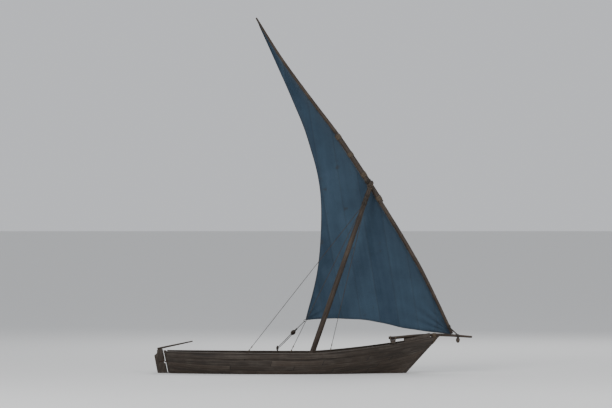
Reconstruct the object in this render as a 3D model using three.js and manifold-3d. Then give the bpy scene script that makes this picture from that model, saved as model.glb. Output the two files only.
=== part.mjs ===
// Small open lateen dhow, afloat. Millimetres, +X to the bow, +Y to port, +Z up, origin at the waterline.
import * as THREE from "three";
import { mergeVertices } from "three/addons/utils/BufferGeometryUtils.js";
import Module from "manifold-3d";

const wasm = await Module();
wasm.setup();

// Driving dimensions of the hull
const SEAT = 0.4;               // gap that touching pieces keep
const KEEL_HALF = 46;           // half the thickness of keel, stem and post
const KEEL_BOTTOM = -480;
const KEEL_TOP = -340;
const RABBET_Z = -380;          // lower edge of the planking
const STEM_AT_WATER = 2960;     // leading edge of the stem at the waterline
const STEM_RAKE = 0.912;        // forward run of the stem for each mm up
const STEM_HEAD_Z = 1029;
const STEM_DEPTH = 230;         // fore and aft size of the stem
const RABBET_SET = 90;          // planks end this far behind the leading edge
const STERN_AT_WATER = -3640;   // after face of the transom at the waterline
const STERN_RAKE = 0.2126;      // aft run of the stern for each mm up
const POST_DEPTH = 80;
const SHEER_LOW = 550;
const SHEER_LOW_X = 200;
const SHEER_BOW_RISE = 443;
const SHEER_BOW_RUN = 3482;
const SHEER_BOW_BEND = 1.45;
const SHEER_STERN_RISE = 45;
const SHEER_STERN_RUN = 4000;
const PLANK = 28;
const WALE = 30;
const INWALE = 45;
const RIB_DEPTH = 55;
const RIB_WIDTH = 50;
const RISER_OUT = RIB_DEPTH + 2 * SEAT;
const RISER_IN = RIB_DEPTH + 32;
const RAIL_IN = 62;
const RAIL_OUT = 72;
const RAIL_THICK = 36;

// Driving dimensions of the spars and the sail
const MAST_FOOT = new THREE.Vector3(70.3, 0, -162);
const MAST_HEAD = new THREE.Vector3(2005, 0, 5379);
const MAST_R_FOOT = 80;
const MAST_R_HEAD = 62;
const YARD_SIDE = 172;          // the yard's centreline to port of the mast's
const TACK = new THREE.Vector3(4261, YARD_SIDE, 1099);
const PEAK = new THREE.Vector3(-1253, YARD_SIDE, 9987);
const SAIL_THICK = 6;

// Half sections, stern to bow: share of length, first and second control point (half breadth,
// share of depth), half breadth at the sheer
const STATIONS = [
  { u: 0.00, y1: 48, z1: 0.42, y2: 430, z2: 0.44, y3: 520 },
  { u: 0.15, y1: 120, z1: 0.20, y2: 800, z2: 0.32, y3: 815 },
  { u: 0.35, y1: 620, z1: 0.10, y2: 1050, z2: 0.30, y3: 1040 },
  { u: 0.55, y1: 720, z1: 0.09, y2: 1085, z2: 0.30, y3: 1090 },
  { u: 0.75, y1: 380, z1: 0.13, y2: 850, z2: 0.36, y3: 950 },
  { u: 0.90, y1: 130, z1: 0.22, y2: 330, z2: 0.50, y3: 560 },
  { u: 1.00, y1: KEEL_HALF + SEAT, z1: 0.33, y2: KEEL_HALF + SEAT, z2: 0.66, y3: KEEL_HALF + SEAT },
];
const ROWS = [0, 0.08, 0.18, 0.30, 0.42, 0.54, 0.65, 0.74, 0.82, 0.87, 0.93, 1];
const RISER_ROWS = [0.82, 0.87];
const WALE_ROWS = [0.93, 1];
const RIB_TOP_ROW = 0.93;
const RIB_GAP = 0.7;
const RIBS = { count: 13, first: 0.07, last: 0.87 };

// One value read from a table by a cubic through its rows
function readTable(table, key, at, value) {
  let i = 0;
  while (i < table.length - 2 && at > table[i + 1][key]) i++;
  const slope = (j) => {
    const a = table[Math.max(j - 1, 0)], b = table[Math.min(j + 1, table.length - 1)];
    return (b[value] - a[value]) / (b[key] - a[key]);
  };
  const [p, q] = [table[i], table[i + 1]];
  const span = q[key] - p[key];
  const s = (at - p[key]) / span;
  const [m0, m1] = [slope(i) * span, slope(i + 1) * span];
  const s2 = s * s, s3 = s2 * s;
  return (2 * s3 - 3 * s2 + 1) * p[value] + (s3 - 2 * s2 + s) * m0
    + (3 * s2 - 2 * s3) * q[value] + (s3 - s2) * m1;
}

// Closed body from equal rings of an even number of points; pairs across each end ring close it.
// The second half of a ring is split the other way, so that the two faces of a band stay parallel
function loft(rings) {
  const n = rings[0].length;
  const positions = rings.flat().flatMap((p) => [p.x, p.y, p.z]);
  const index = [];
  for (let r = 0; r < rings.length - 1; r++) {
    for (let i = 0; i < n; i++) {
      const a = r * n + i, b = r * n + (i + 1) % n;
      if (i < n / 2) index.push(a, b, b + n, a, b + n, a + n);
      else index.push(a, b, a + n, b, b + n, a + n);
    }
  }
  const last = (rings.length - 1) * n;
  for (let i = 0; i < n / 2 - 1; i++) {
    const [a, b, c, d] = [i, i + 1, n - 2 - i, n - 1 - i];
    index.push(a, c, b, a, d, c, last + a, last + b, last + c, last + a, last + c, last + d);
  }
  const geometry = new THREE.BufferGeometry();
  geometry.setAttribute("position", new THREE.Float32BufferAttribute(positions, 3));
  geometry.setIndex(index);
  return facingOut(geometry);
}

// Turns a closed body's faces outward when its signed volume is negative
function facingOut(geometry) {
  const p = geometry.attributes.position, index = geometry.index;
  const [a, b, c] = [new THREE.Vector3(), new THREE.Vector3(), new THREE.Vector3()];
  let volume = 0;
  for (let i = 0; i < index.count; i += 3) {
    a.fromBufferAttribute(p, index.getX(i));
    b.fromBufferAttribute(p, index.getX(i + 1));
    c.fromBufferAttribute(p, index.getX(i + 2));
    volume += a.dot(b.cross(c));
  }
  if (volume < 0) geometry.setIndex([...index.array].reverse());
  return geometry;
}

function toSolid(geometry) {
  const bare = geometry.clone();
  for (const name of Object.keys(bare.attributes)) if (name !== "position") bare.deleteAttribute(name);
  const merged = mergeVertices(bare, 1e-3);
  return new wasm.Manifold(new wasm.Mesh({
    numProp: 3,
    vertProperties: new Float32Array(merged.attributes.position.array),
    triVerts: new Uint32Array(merged.index.array),
  }));
}

function toGeometry(solid) {
  const mesh = solid.getMesh();
  const geometry = new THREE.BufferGeometry();
  geometry.setAttribute("position", new THREE.BufferAttribute(new Float32Array(mesh.vertProperties), 3));
  geometry.setIndex(new THREE.BufferAttribute(new Uint32Array(mesh.triVerts), 1));
  return geometry;
}

const joined = (list) => toGeometry(list.map(toSolid).reduce((sum, solid) => sum.add(solid)));
const cut = (geometry, tools) =>
  toGeometry(tools.map(toSolid).reduce((rest, tool) => rest.subtract(tool), toSolid(geometry)));

function block(x0, x1, y0, y1, z0, z1) {
  const geometry = new THREE.BoxGeometry(x1 - x0, y1 - y0, z1 - z0);
  return geometry.translate((x0 + x1) / 2, (y0 + y1) / 2, (z0 + z1) / 2);
}

// A profile in the plane of X and Z, extruded half to each side of the centreline
function sideProfile(points, half) {
  const shape = new THREE.Shape(points.map(([x, z]) => new THREE.Vector2(x, z)));
  const geometry = new THREE.ExtrudeGeometry(shape, { depth: 2 * half, bevelEnabled: false });
  return geometry.rotateX(Math.PI / 2).translate(0, half, 0);
}

// Tapered round bar through points; one corner of each ring faces starboard
function spar(points, radii, sides) {
  const side = new THREE.Vector3(0, -1, 0);
  return loft(points.map((point, k) => {
    const before = points[Math.max(k - 1, 0)], after = points[Math.min(k + 1, points.length - 1)];
    const along = after.clone().sub(before).normalize();
    const across = along.clone().cross(side).normalize();
    const facing = across.clone().cross(along);
    return Array.from({ length: sides }, (_, i) => {
      const turn = (2 * Math.PI * i) / sides;
      return point.clone().addScaledVector(facing, Math.cos(turn) * radii[k])
        .addScaledVector(across, Math.sin(turn) * radii[k]);
    });
  }));
}

// Hull form: the inner face of the planking, at a share of length u and a place v up the section
const sternX = (z) => STERN_AT_WATER - STERN_RAKE * z;
const stemX = (z) => STEM_AT_WATER + STEM_RAKE * z;
function sheerZ(x) {
  if (x > SHEER_LOW_X) return SHEER_LOW + SHEER_BOW_RISE * ((x - SHEER_LOW_X) / SHEER_BOW_RUN) ** SHEER_BOW_BEND;
  return SHEER_LOW + SHEER_STERN_RISE * ((SHEER_LOW_X - x) / SHEER_STERN_RUN) ** 2;
}
function lengthX(u, z) {
  return sternX(z) + u * (stemX(z) - RABBET_SET - sternX(z));
}
function sheerAt(u) {
  let z = SHEER_LOW;
  for (let k = 0; k < 6; k++) z = sheerZ(lengthX(u, z));
  return z;
}
function hull(u, v) {
  const s = Object.fromEntries(["y1", "z1", "y2", "z2", "y3"].map((k) => [k, readTable(STATIONS, "u", u, k)]));
  const top = sheerAt(u), depth = top - RABBET_Z, w = 1 - v;
  const [b0, b1, b2, b3] = [w * w * w, 3 * w * w * v, 3 * w * v * v, v * v * v];
  const y = b0 * (KEEL_HALF + SEAT) + b1 * s.y1 + b2 * s.y2 + b3 * s.y3;
  const z = RABBET_Z + depth * (b1 * s.z1 + b2 * s.z2 + b3);
  return new THREE.Vector3(lengthX(u, z), Math.max(y, KEEL_HALF + SEAT), z);
}
// The same point moved outward by a distance; level at the sheer, so that tops lie flush
function skin(u, v, out) {
  const point = hull(u, v), step = 0.004;
  const [u0, u1] = [Math.max(u - step, 0), Math.min(u + step, 1)];
  const [v0, v1] = [Math.max(v - step, 0), Math.min(v + step, 1)];
  const normal = hull(u1, v).sub(hull(u0, v)).cross(hull(u, v1).sub(hull(u, v0))).normalize();
  if (normal.y < 0) normal.negate();
  if (v === 1) normal.setZ(0).normalize();
  if (u === 1 || u === 0) normal.setX(0).normalize();
  return point.addScaledVector(normal, out);
}
const mirrored = (p, side) => new THREE.Vector3(p.x, side * p.y, p.z);
const spread = (from, to, count) => Array.from({ length: count + 1 }, (_, i) => from + ((to - from) * i) / count);

// A band that follows the hull: rows of the section, between two distances from the inner face
function strake(us, vs, inner, outer, side) {
  return loft(us.map((u) => [
    ...vs.map((v) => skin(u, v, outer)),
    ...[...vs].reverse().map((v) => skin(u, v, inner)),
  ].map((p) => mirrored(p, side))));
}

// Height on the section where the inner face passes a level, by halving
function rowAt(u, z, out = 0) {
  let low = 0, high = 1;
  for (let k = 0; k < 30; k++) {
    const mid = (low + high) / 2;
    if (skin(u, mid, out).z < z) low = mid; else high = mid;
  }
  return low;
}
function shareAt(x, z) {
  return (x - sternX(z)) / (stemX(z) - RABBET_SET - sternX(z));
}
// Half breadth inside the ribs at a place along the hull and a level
function roomAt(x, z, margin) {
  const u = shareAt(x, z);
  return skin(u, rowAt(u, z, -RIB_DEPTH), -RIB_DEPTH - margin).y;
}

const parts = new THREE.Group();
const WOOD = 0x2b2019, SPAR = 0x3a2c20, ROPE = 0x5b5142, IRON = 0x2c2a28, CLOTH = 0x53626e;
function add(name, geometry, color, into = parts) {
  const mesh = new THREE.Mesh(geometry, new THREE.MeshStandardMaterial({ color, roughness: 0.85, metalness: 0 }));
  mesh.name = name;
  into.add(mesh);
  return mesh;
}

// Backbone: keel, stem, stern post and the deadwood that fills the narrow stern
const TRANSOM_THICK = 38;
const DEADWOOD_START = -2300;
const DEADWOOD_END = -3578.5;
const DEADWOOD_RISE = 230;
const deadwoodTop = (x) => KEEL_TOP + SEAT
  + DEADWOOD_RISE * Math.max(0, (DEADWOOD_START - x) / (DEADWOOD_START - sternX(KEEL_TOP)));
const FOREFOOT = { back: 40, ahead: 20, rise: 30 };   // the corner under the stem is cut off
const keelAft = sternX(KEEL_BOTTOM) - POST_DEPTH;
add("keel", sideProfile([
  [keelAft, KEEL_BOTTOM],
  [stemX(KEEL_BOTTOM) - FOREFOOT.back, KEEL_BOTTOM],
  [stemX(KEEL_BOTTOM) + FOREFOOT.ahead, KEEL_BOTTOM + FOREFOOT.rise],
  [stemX(KEEL_TOP), KEEL_TOP],
  [sternX(KEEL_TOP) - POST_DEPTH, KEEL_TOP],
], KEEL_HALF), WOOD);
add("stem_post", sideProfile([
  [stemX(KEEL_TOP + SEAT) - STEM_DEPTH, KEEL_TOP + SEAT],
  [stemX(KEEL_TOP + SEAT), KEEL_TOP + SEAT],
  [stemX(STEM_HEAD_Z), STEM_HEAD_Z],
  [stemX(STEM_HEAD_Z) - STEM_DEPTH, STEM_HEAD_Z],
], KEEL_HALF), WOOD);
const POST_HEAD_Z = 640;
add("stern_post", sideProfile([
  [sternX(KEEL_TOP) - POST_DEPTH, KEEL_TOP + SEAT],
  [sternX(KEEL_TOP) - SEAT, KEEL_TOP + SEAT],
  [sternX(POST_HEAD_Z) - SEAT, POST_HEAD_Z],
  [sternX(POST_HEAD_Z) - POST_DEPTH, POST_HEAD_Z],
], KEEL_HALF), WOOD);
const DEADWOOD_HALF = KEEL_HALF - 1;
add("stern_deadwood", sideProfile([
  [DEADWOOD_START, KEEL_TOP + SEAT],
  [DEADWOOD_END, deadwoodTop(DEADWOOD_END)],
  [sternX(KEEL_TOP) + TRANSOM_THICK + 2 * SEAT, KEEL_TOP + SEAT],
], DEADWOOD_HALF), WOOD);

// Skin of the hull, and what follows it, once for each side
const ribUs = spread(RIBS.first, RIBS.last, RIBS.count - 1);
const ribHalf = RIB_WIDTH / 2 / (stemX(0) - sternX(0));
const ribEdges = ribUs.flatMap((u) => [u - ribHalf, u + ribHalf]);
const hullUs = [0, 0.03, ...ribEdges, 0.9, 0.93, 0.955, 0.98, 1];
const RAIL_END = 0.98;
const RAIL_CLEAR = 2;           // the rails stay this far off the stem's side
const railUs = hullUs.filter((u) => u <= RAIL_END);
// The skin is planked in four lots a side: below and above the turn of the bilge, aft and forward
const SKIN_SPLIT = { u: ribEdges[14], v: 0.42, gapU: 0.00006, gapV: 0.0003 };
const lots = (values, at, gap) => [
  values.filter((value) => value <= at),
  [at + gap, ...values.filter((value) => value > at)],
];
const RISER_LENGTHS = [["aft", 0, ribEdges[8]], ["middle", ribEdges[8], ribEdges[14]], ["fore", ribEdges[14], 1]];
for (const [word, side] of [["starboard", -1], ["port", 1]]) {
  lots(hullUs, SKIN_SPLIT.u, SKIN_SPLIT.gapU).forEach((us, end) => {
    lots(ROWS, SKIN_SPLIT.v, SKIN_SPLIT.gapV).forEach((vs, level) => {
      const lot = `${["aft", "fore"][end]}_${["bottom", "side"][level]}`;
      add(`planking_${lot}_${word}`, strake(us, vs, 0, PLANK, side), WOOD);
    });
  });
  add(`wale_${word}`, strake(hullUs, WALE_ROWS, PLANK + SEAT, PLANK + WALE, side), WOOD);
  RISER_LENGTHS.forEach(([length, from, to]) => {
    const us = ribEdges.filter((u) => u > from && u <= to);
    const start = length === "aft" ? [] : [from + SKIN_SPLIT.gapU];
    add(`riser_${length}_${word}`, strake([...start, ...us], RISER_ROWS, -RISER_IN, -RISER_OUT, side), WOOD);
  });
  add(`inwale_${word}`, strake(railUs.slice(1, -1), WALE_ROWS, -INWALE, -SEAT, side), WOOD);
  add(`rail_${word}`, loft(railUs.map((u) => {
    const edges = [skin(u, 1, -RAIL_IN), skin(u, 1, RAIL_OUT)];
    edges[0].y = Math.max(edges[0].y, KEEL_HALF + RAIL_CLEAR);
    const [low, high] = [SEAT, SEAT + RAIL_THICK];
    return [[1, low], [1, high], [0, high], [0, low]].map(([edge, rise]) => {
      const p = edges[edge].clone();
      p.z += rise;
      return mirrored(p, side);
    });
  })), WOOD);
}

// Ribs: two halves meet over the keel, and the keelson joins them all
const FLOOR_HEIGHT = 75;
const RIB_LAP = 5;
const RIB_CLEAR = { up: 8, side: 6 };
const KEELSON = { half: 40, low: 50, high: 125, aft: -3180, fore: 1800 };
function ribRows(u) {
  const floor = deadwoodTop(lengthX(u, KEEL_TOP)) + SEAT;
  return ROWS.filter((v) => v <= RIB_TOP_ROW && hull(u, v).z > floor + RIB_CLEAR.up && hull(u, v).y > KEEL_HALF + RIB_CLEAR.side);
}
function ribRing(u, rows, side) {
  const x = lengthX(u, KEEL_TOP);
  const floor = deadwoodTop(x) + SEAT;
  const at = (v, out) => {
    const p = skin(u, v, out);
    if (v === RIB_TOP_ROW) p.z -= SEAT;
    return p;
  };
  const outer = rows.map((v) => at(v, -RIB_GAP));
  const inner = rows.map((v) => at(v, -RIB_DEPTH));
  const low = new THREE.Vector3(x, -RIB_LAP, floor);
  const high = new THREE.Vector3(x, -RIB_LAP, Math.max(floor + FLOOR_HEIGHT, inner[0].z));
  inner.forEach((p) => { p.y = Math.max(p.y, 1); });
  return [low, ...outer, ...inner.reverse(), high].map((p) => mirrored(p, side));
}
const ribs = ribUs.flatMap((u) => [-1, 1].map((side) =>
  loft([u - ribHalf, u + ribHalf].map((edge) => ribRing(edge, ribRows(u), side)))));
const keelsonTop = (x) => deadwoodTop(x) + KEELSON.high;
const keelson = loft([KEELSON.aft, DEADWOOD_START, KEELSON.fore].map((x) => {
  const floor = deadwoodTop(x);
  return [[-1, KEELSON.low], [-1, KEELSON.high], [1, KEELSON.high], [1, KEELSON.low]]
    .map(([side, rise]) => new THREE.Vector3(x, side * KEELSON.half, floor + rise));
}));
add("frames_and_keelson", joined([keelson, ...ribs]), WOOD);

// Transom: a board between the ends of the planking, from the keel to the rails, before the stern post
const transomFoot = rowAt(0, KEEL_TOP + 2 * SEAT);
function transomRing(x) {
  const rows = [transomFoot, ...ROWS.filter((v) => v > transomFoot)];
  const right = rows.map((v) => {
    const place = hull(0, v);
    const inside = hull(x / (stemX(0) - sternX(0)), v);
    const drop = v === 1 ? 3 * SEAT : 0;
    return new THREE.Vector3(place.x + x, Math.min(place.y, inside.y) - 2 * SEAT, place.z - drop);
  });
  return [...right.map((p) => mirrored(p, -1)), ...right.reverse()];
}
add("transom", loft([transomRing(0), transomRing(TRANSOM_THICK)]), WOOD);

// Mast: its axis leans forward; it stands in a step and passes through the mast beam
const MAST_SIDES = 16;
const MAST_RINGS = spread(MAST_FOOT.z, MAST_HEAD.z, 6);
const mastLean = Math.atan2(MAST_HEAD.x - MAST_FOOT.x, MAST_HEAD.z - MAST_FOOT.z);
const mastAt = (z) => MAST_FOOT.clone().lerp(MAST_HEAD, (z - MAST_FOOT.z) / (MAST_HEAD.z - MAST_FOOT.z));
const mastRadius = (z) =>
  MAST_R_FOOT + (MAST_R_HEAD - MAST_R_FOOT) * (z - MAST_FOOT.z) / (MAST_HEAD.z - MAST_FOOT.z);
add("mast", spar(MAST_RINGS.map(mastAt), MAST_RINGS.map(mastRadius), MAST_SIDES), SPAR);

// Bottom boards lie on the keelson; the step is a block on them round the mast's heel
const BOARDS = { aft: -2250, fore: 1200, thick: 22, margin: 45 };
const boardsLow = keelsonTop(0) + SEAT;
const boardsHigh = boardsLow + BOARDS.thick;
const plate = (xs, half, low, high) => loft(xs.map((x) =>
  [[-1, low], [-1, high], [1, high], [1, low]].map(([side, z]) => new THREE.Vector3(x, side * half(x), z))));
add("bottom_boards", plate(spread(BOARDS.aft, BOARDS.fore, 10),
  (x) => roomAt(x, boardsLow, BOARDS.margin), boardsLow, boardsHigh), WOOD);
const HOLE_LONG = 100;          // the mast's holes are cut this far past the wood
const STEP = { half: 130, aft: 190, fore: 210, high: 110 };
const heel = mastAt(boardsHigh + STEP.high / 2);
const mastHole = (low, high) => spar([mastAt(low), mastAt(high)],
  [mastRadius(low) + 2 * SEAT, mastRadius(low) + 2 * SEAT], MAST_SIDES);
add("mast_step", cut(block(heel.x - STEP.aft, heel.x + STEP.fore, -STEP.half, STEP.half,
  boardsHigh + SEAT, boardsHigh + STEP.high), [mastHole(boardsLow - HOLE_LONG, boardsHigh + STEP.high + HOLE_LONG)]), WOOD);

// Thwarts rest on the risers: name, middle, width, thickness
const THWARTS = [
  ["stern_bench", -2985, 420, 32],
  ["aft_thwart", -2420, 240, 38],
  ["stroke_thwart", -1400, 230, 38],
  ["middle_thwart", -520, 230, 38],
  ["mast_beam", 262, 330, 70],
  ["fore_thwart", 1330, 230, 38],
];
const THWART_SET = 13;
const riserLines = [-RISER_OUT, -RISER_IN].map((out) => ribEdges.map((u) => skin(u, RISER_ROWS[1], out)));
function lineAt(line, x) {
  const i = THREE.MathUtils.clamp(line.findIndex((p) => p.x > x), 1, line.length - 1);
  const share = (x - line[i - 1].x) / (line[i].x - line[i - 1].x);
  return line[i - 1].z + (line[i].z - line[i - 1].z) * share;
}
const riserTop = (from, to) => Math.max(...riserLines.flatMap((line) =>
  [lineAt(line, from), lineAt(line, to), ...line.filter((p) => p.x > from && p.x < to).map((p) => p.z)]));
for (const [name, x, width, thick] of THWARTS) {
  const [aft, fore] = [x - width / 2, x + width / 2];
  const low = riserTop(aft, fore) + SEAT;
  const board = plate([aft, fore], (at) => roomAt(at, low, THWART_SET), low, low + thick);
  add(name, name === "mast_beam" ? cut(board, [mastHole(low - HOLE_LONG, low + thick + HOLE_LONG)]) : board, WOOD);
}

// Fore deck under the inwales, washboards on the rails, and the mooring beam across them
const DECK_START = 0.88;
const deckUs = hullUs.filter((u) => u > DECK_START && u < RAIL_END);
const DECK_THICK = 28;
const DECK_SET = 3;
add("fore_deck", loft(deckUs.map((u) => {
  const high = skin(u, WALE_ROWS[0], -SEAT).z - 2 * SEAT;
  const low = high - DECK_THICK;
  const half = skin(u, rowAt(u, low), -DECK_SET);
  return [[-1, low], [-1, high], [1, high], [1, low]].map(([side, z]) => new THREE.Vector3(half.x, side * half.y, z));
})), WOOD);
const BEAM = { x: 2593, width: 110, high: 90, overhang: 150 };
const railLines = [-RAIL_IN, RAIL_OUT].map((out) => railUs.map((u) => skin(u, 1, out)));
const railTop = (x) => Math.max(...railLines.map((line) => lineAt(line, x))) + SEAT + RAIL_THICK;
const beamLow = railTop(BEAM.x + BEAM.width / 2) + SEAT;
const beamHigh = beamLow + BEAM.high;
const beamHalf = hull(shareAt(BEAM.x, sheerZ(BEAM.x)), 1).y + BEAM.overhang;
add("mooring_beam", block(BEAM.x - BEAM.width / 2, BEAM.x + BEAM.width / 2, -beamHalf, beamHalf,
  beamLow, beamHigh), WOOD);
const WASH = { from: 0.89, thick: 26, set: 8, aft: 70, fore: 105 };
const washUs = railUs.filter((u) => u > WASH.from);
for (const [word, side] of [["starboard", -1], ["port", 1]]) {
  add(`washboard_${word}`, loft(washUs.map((u, i) => {
    const share = i / (washUs.length - 1);
    const high = WASH.aft + (WASH.fore - WASH.aft) * share;
    const edges = [skin(u, 1, WASH.set + WASH.thick), skin(u, 1, WASH.set)];
    return [[0, 0], [0, high], [1, high], [1, 0]].map(([edge, rise]) => {
      const p = edges[edge].clone();
      p.z += RAIL_THICK + 3 * SEAT + rise;
      return mirrored(p, side);
    });
  })), WOOD);
}

// Bowsprit: a bent pole, its heel on the mooring beam, lying over the stem head
const BOWSPRIT_R = 42;
const BOWSPRIT_TIP = [4820, 1013];
const overStem = stemX(STEM_HEAD_Z) - STEM_DEPTH / 2;
const bowspritPath = [
  [2470, beamHigh + BOWSPRIT_R + 2 * SEAT],
  [BEAM.x + BEAM.width / 2, beamHigh + BOWSPRIT_R + 2 * SEAT],
  [3200, 1045],
  [overStem - STEM_DEPTH / 2, STEM_HEAD_Z + BOWSPRIT_R + 2 * SEAT],
  [overStem + STEM_DEPTH / 2, STEM_HEAD_Z + BOWSPRIT_R + 2 * SEAT],
  [4350, 1050],
  BOWSPRIT_TIP,
].map(([x, z]) => new THREE.Vector3(x, 0, z));
add("bowsprit", spar(bowspritPath, [40, 42, 42, 42, 42, 38, 30], 12), SPAR);

// Stays, taut: foot on the starboard rail, head on the mast
const STAY_R = 8;
const STAY_SET = 5;             // the stays' feet stand this far out on the rail
const STAYS = [
  ["shroud_fore", 820, 4990],
  ["shroud_aft", -300, 4880],
  ["halyard_fall", -1500, 4770],
];
for (const [name, x, headZ] of STAYS) {
  const foot = skin(shareAt(x, sheerZ(x)), 1, STAY_SET);
  foot.set(foot.x, -foot.y, railTop(foot.x) + SEAT);
  const head = mastAt(headZ);
  head.y = -(mastRadius(headZ) + STAY_R + SEAT);
  const ring = (centre) => Array.from({ length: 8 }, (_, i) => {
    const turn = (Math.PI * i) / 4;
    return new THREE.Vector3(centre.x + STAY_R * Math.sin(turn), centre.y + STAY_R * Math.cos(turn), centre.z);
  });
  add(name, loft([ring(foot), ring(head)]), ROPE);
}

// Rudder, in its own frame: Z up the hinge line, X forward
const HINGE_SET = 24;
const rudderFrame = (list) => {
  const group = new THREE.Group();
  group.position.set(sternX(0) - POST_DEPTH - HINGE_SET, 0, 0);
  group.rotation.y = -Math.atan(STERN_RAKE);
  parts.add(group);
  for (const [name, geometry, color] of list) add(name, geometry, color, group);
};
const BLADE = { half: 22, front: -14, notch: -28, top: 700 };
const GUDGEONS = [["lower", -290], ["upper", 330]];
const PIN_R = 8.5;
const RING_R = 19;
const STRAP = 28;
const upright = (radius, low, high) =>
  new THREE.CylinderGeometry(radius, radius, high - low, 16).rotateX(Math.PI / 2).translate(0, 0, (low + high) / 2);
const BLADE_OUTLINE = [
  [BLADE.front, -455], [BLADE.front, BLADE.top], [-150, BLADE.top], [-175, 610], [-262, 560],
  [-272, 40], [-300, -430], [-270, -470],
];
const NOTCH = { half: 60, below: 36, above: 15 };
const blade = cut(sideProfile(BLADE_OUTLINE, BLADE.half), GUDGEONS.map(([, z]) =>
  block(BLADE.notch, 0, -NOTCH.half, NOTCH.half, z - NOTCH.below, z + NOTCH.above)));
const postFace = HINGE_SET * Math.cos(Math.atan(STERN_RAKE)) - SEAT;
const EYE = { aft: 4, fore: 94, half: 52, thick: 12, past: 20 };
const gudgeon = (z) => cut(joined([
  block(EYE.aft, EYE.fore, -EYE.half, EYE.half, z - EYE.thick, z + EYE.thick),
  upright(RING_R, z - EYE.thick, z + EYE.thick),
]), [
  block(postFace, EYE.fore + EYE.past, -KEEL_HALF - SEAT, KEEL_HALF + SEAT, z - EYE.past, z + EYE.past),
  upright(PIN_R + 1, z - EYE.past, z + EYE.past),
]);
const PINTLE = { pinLow: -30, pinHigh: 20, aft: -170, fore: 4, low: 13, high: 41 };
const pintle = (z) => joined([
  upright(PIN_R, z + PINTLE.pinLow, z + PINTLE.pinHigh),
  cut(block(PINTLE.aft, PINTLE.fore, -STRAP, STRAP, z + PINTLE.low, z + PINTLE.high),
    [block(2 * PINTLE.aft, BLADE.front + SEAT, -BLADE.half - SEAT, BLADE.half + SEAT, z, z + 2 * PINTLE.high)]),
]);
const TILLER = { r: 27, path: [[-140, 27], [60, 27], [500, 22], [880, 17]] };
const tillerLow = BLADE.top + SEAT;
rudderFrame([
  ["rudder_blade", blade, WOOD],
  ...GUDGEONS.map(([word, z]) => [`gudgeon_${word}`, gudgeon(z), IRON]),
  ...GUDGEONS.map(([word, z]) => [`pintle_${word}`, pintle(z), IRON]),
  ["tiller", spar(TILLER.path.map(([x]) => new THREE.Vector3(x, 0, tillerLow + TILLER.r)),
    TILLER.path.map(([, radius]) => radius), 12), SPAR],
]);

// Yard: two poles lashed side by side; share of length from the tack, bow off the chord
const YARD_BOW = [
  { t: 0, bow: 0 }, { t: 0.115, bow: 135 }, { t: 0.22, bow: 220 }, { t: 0.40, bow: 240 },
  { t: 0.59, bow: 190 }, { t: 0.75, bow: 72 }, { t: 0.88, bow: 0 }, { t: 1, bow: 0 },
];
const YARD_R = [
  { t: 0, lower: 40, upper: 40 }, { t: 0.3, lower: 58, upper: 48 }, { t: 0.6, lower: 50, upper: 54 },
  { t: 0.8, lower: 46, upper: 42 }, { t: 1, lower: 40, upper: 24 },
];
const LAP = { from: 0.4, to: 0.62, clear: 0.85, turn: Math.PI / 8 };
const yardUp = PEAK.clone().sub(TACK).normalize();
const yardOut = new THREE.Vector3(yardUp.z, 0, -yardUp.x);
const yardAt = (t) => TACK.clone().lerp(PEAK, t).addScaledVector(yardOut, readTable(YARD_BOW, "t", t, "bow"));
const lowerR = (t) => readTable(YARD_R, "t", t, "lower");
const upperR = (t) => readTable(YARD_R, "t", t, "upper");
const lapShare = (t) => THREE.MathUtils.clamp((LAP.clear - t) / (LAP.clear - LAP.to), 0, 1);
const lapApart = (t) => lapShare(t) * (lowerR(t) + upperR(t) + 2 * SEAT);
function upperAt(t) {
  const along = yardAt(t + 0.005).sub(yardAt(t - 0.005)).normalize();
  const out = new THREE.Vector3(along.z, 0, -along.x);
  const side = new THREE.Vector3(0, lapApart(t) * Math.cos(LAP.turn), 0);
  return yardAt(t).addScaledVector(out, lapApart(t) * Math.sin(LAP.turn)).add(side);
}
const YARD_SIDES = 16;
const lowerTs = [0, 0.06, 0.12, 0.18, 0.25, 0.32, LAP.from, 0.47, 0.54, LAP.to];
const upperTs = [LAP.from, 0.47, 0.54, LAP.to, 0.68, 0.74, 0.8, 0.87, 0.94, 1];
add("yard_lower", spar(lowerTs.map(yardAt), lowerTs.map(lowerR), YARD_SIDES), SPAR);
add("yard_upper", spar(upperTs.map(upperAt), upperTs.map(upperR), YARD_SIDES), SPAR);

// Parrel: the rope collar that holds the yard to the mast
const CROSS = { t: 0.452, high: 36 };
const crossZ = yardAt(CROSS.t).z;
const parrelHole = (mastRadius(crossZ) + 2 * SEAT) / Math.cos(Math.PI / 24);
const parrelOut = YARD_SIDE - lowerR(CROSS.t) - SEAT;
const parrel = new THREE.LatheGeometry([
  new THREE.Vector2(parrelHole, -CROSS.high / 2), new THREE.Vector2(parrelOut, -CROSS.high / 2),
  new THREE.Vector2(parrelOut, CROSS.high / 2), new THREE.Vector2(parrelHole, CROSS.high / 2),
  new THREE.Vector2(parrelHole, -CROSS.high / 2),
], 24).rotateX(Math.PI / 2).rotateY(mastLean).translate(mastAt(crossZ).x, 0, crossZ);
add("parrel", parrel, ROPE);

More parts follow.
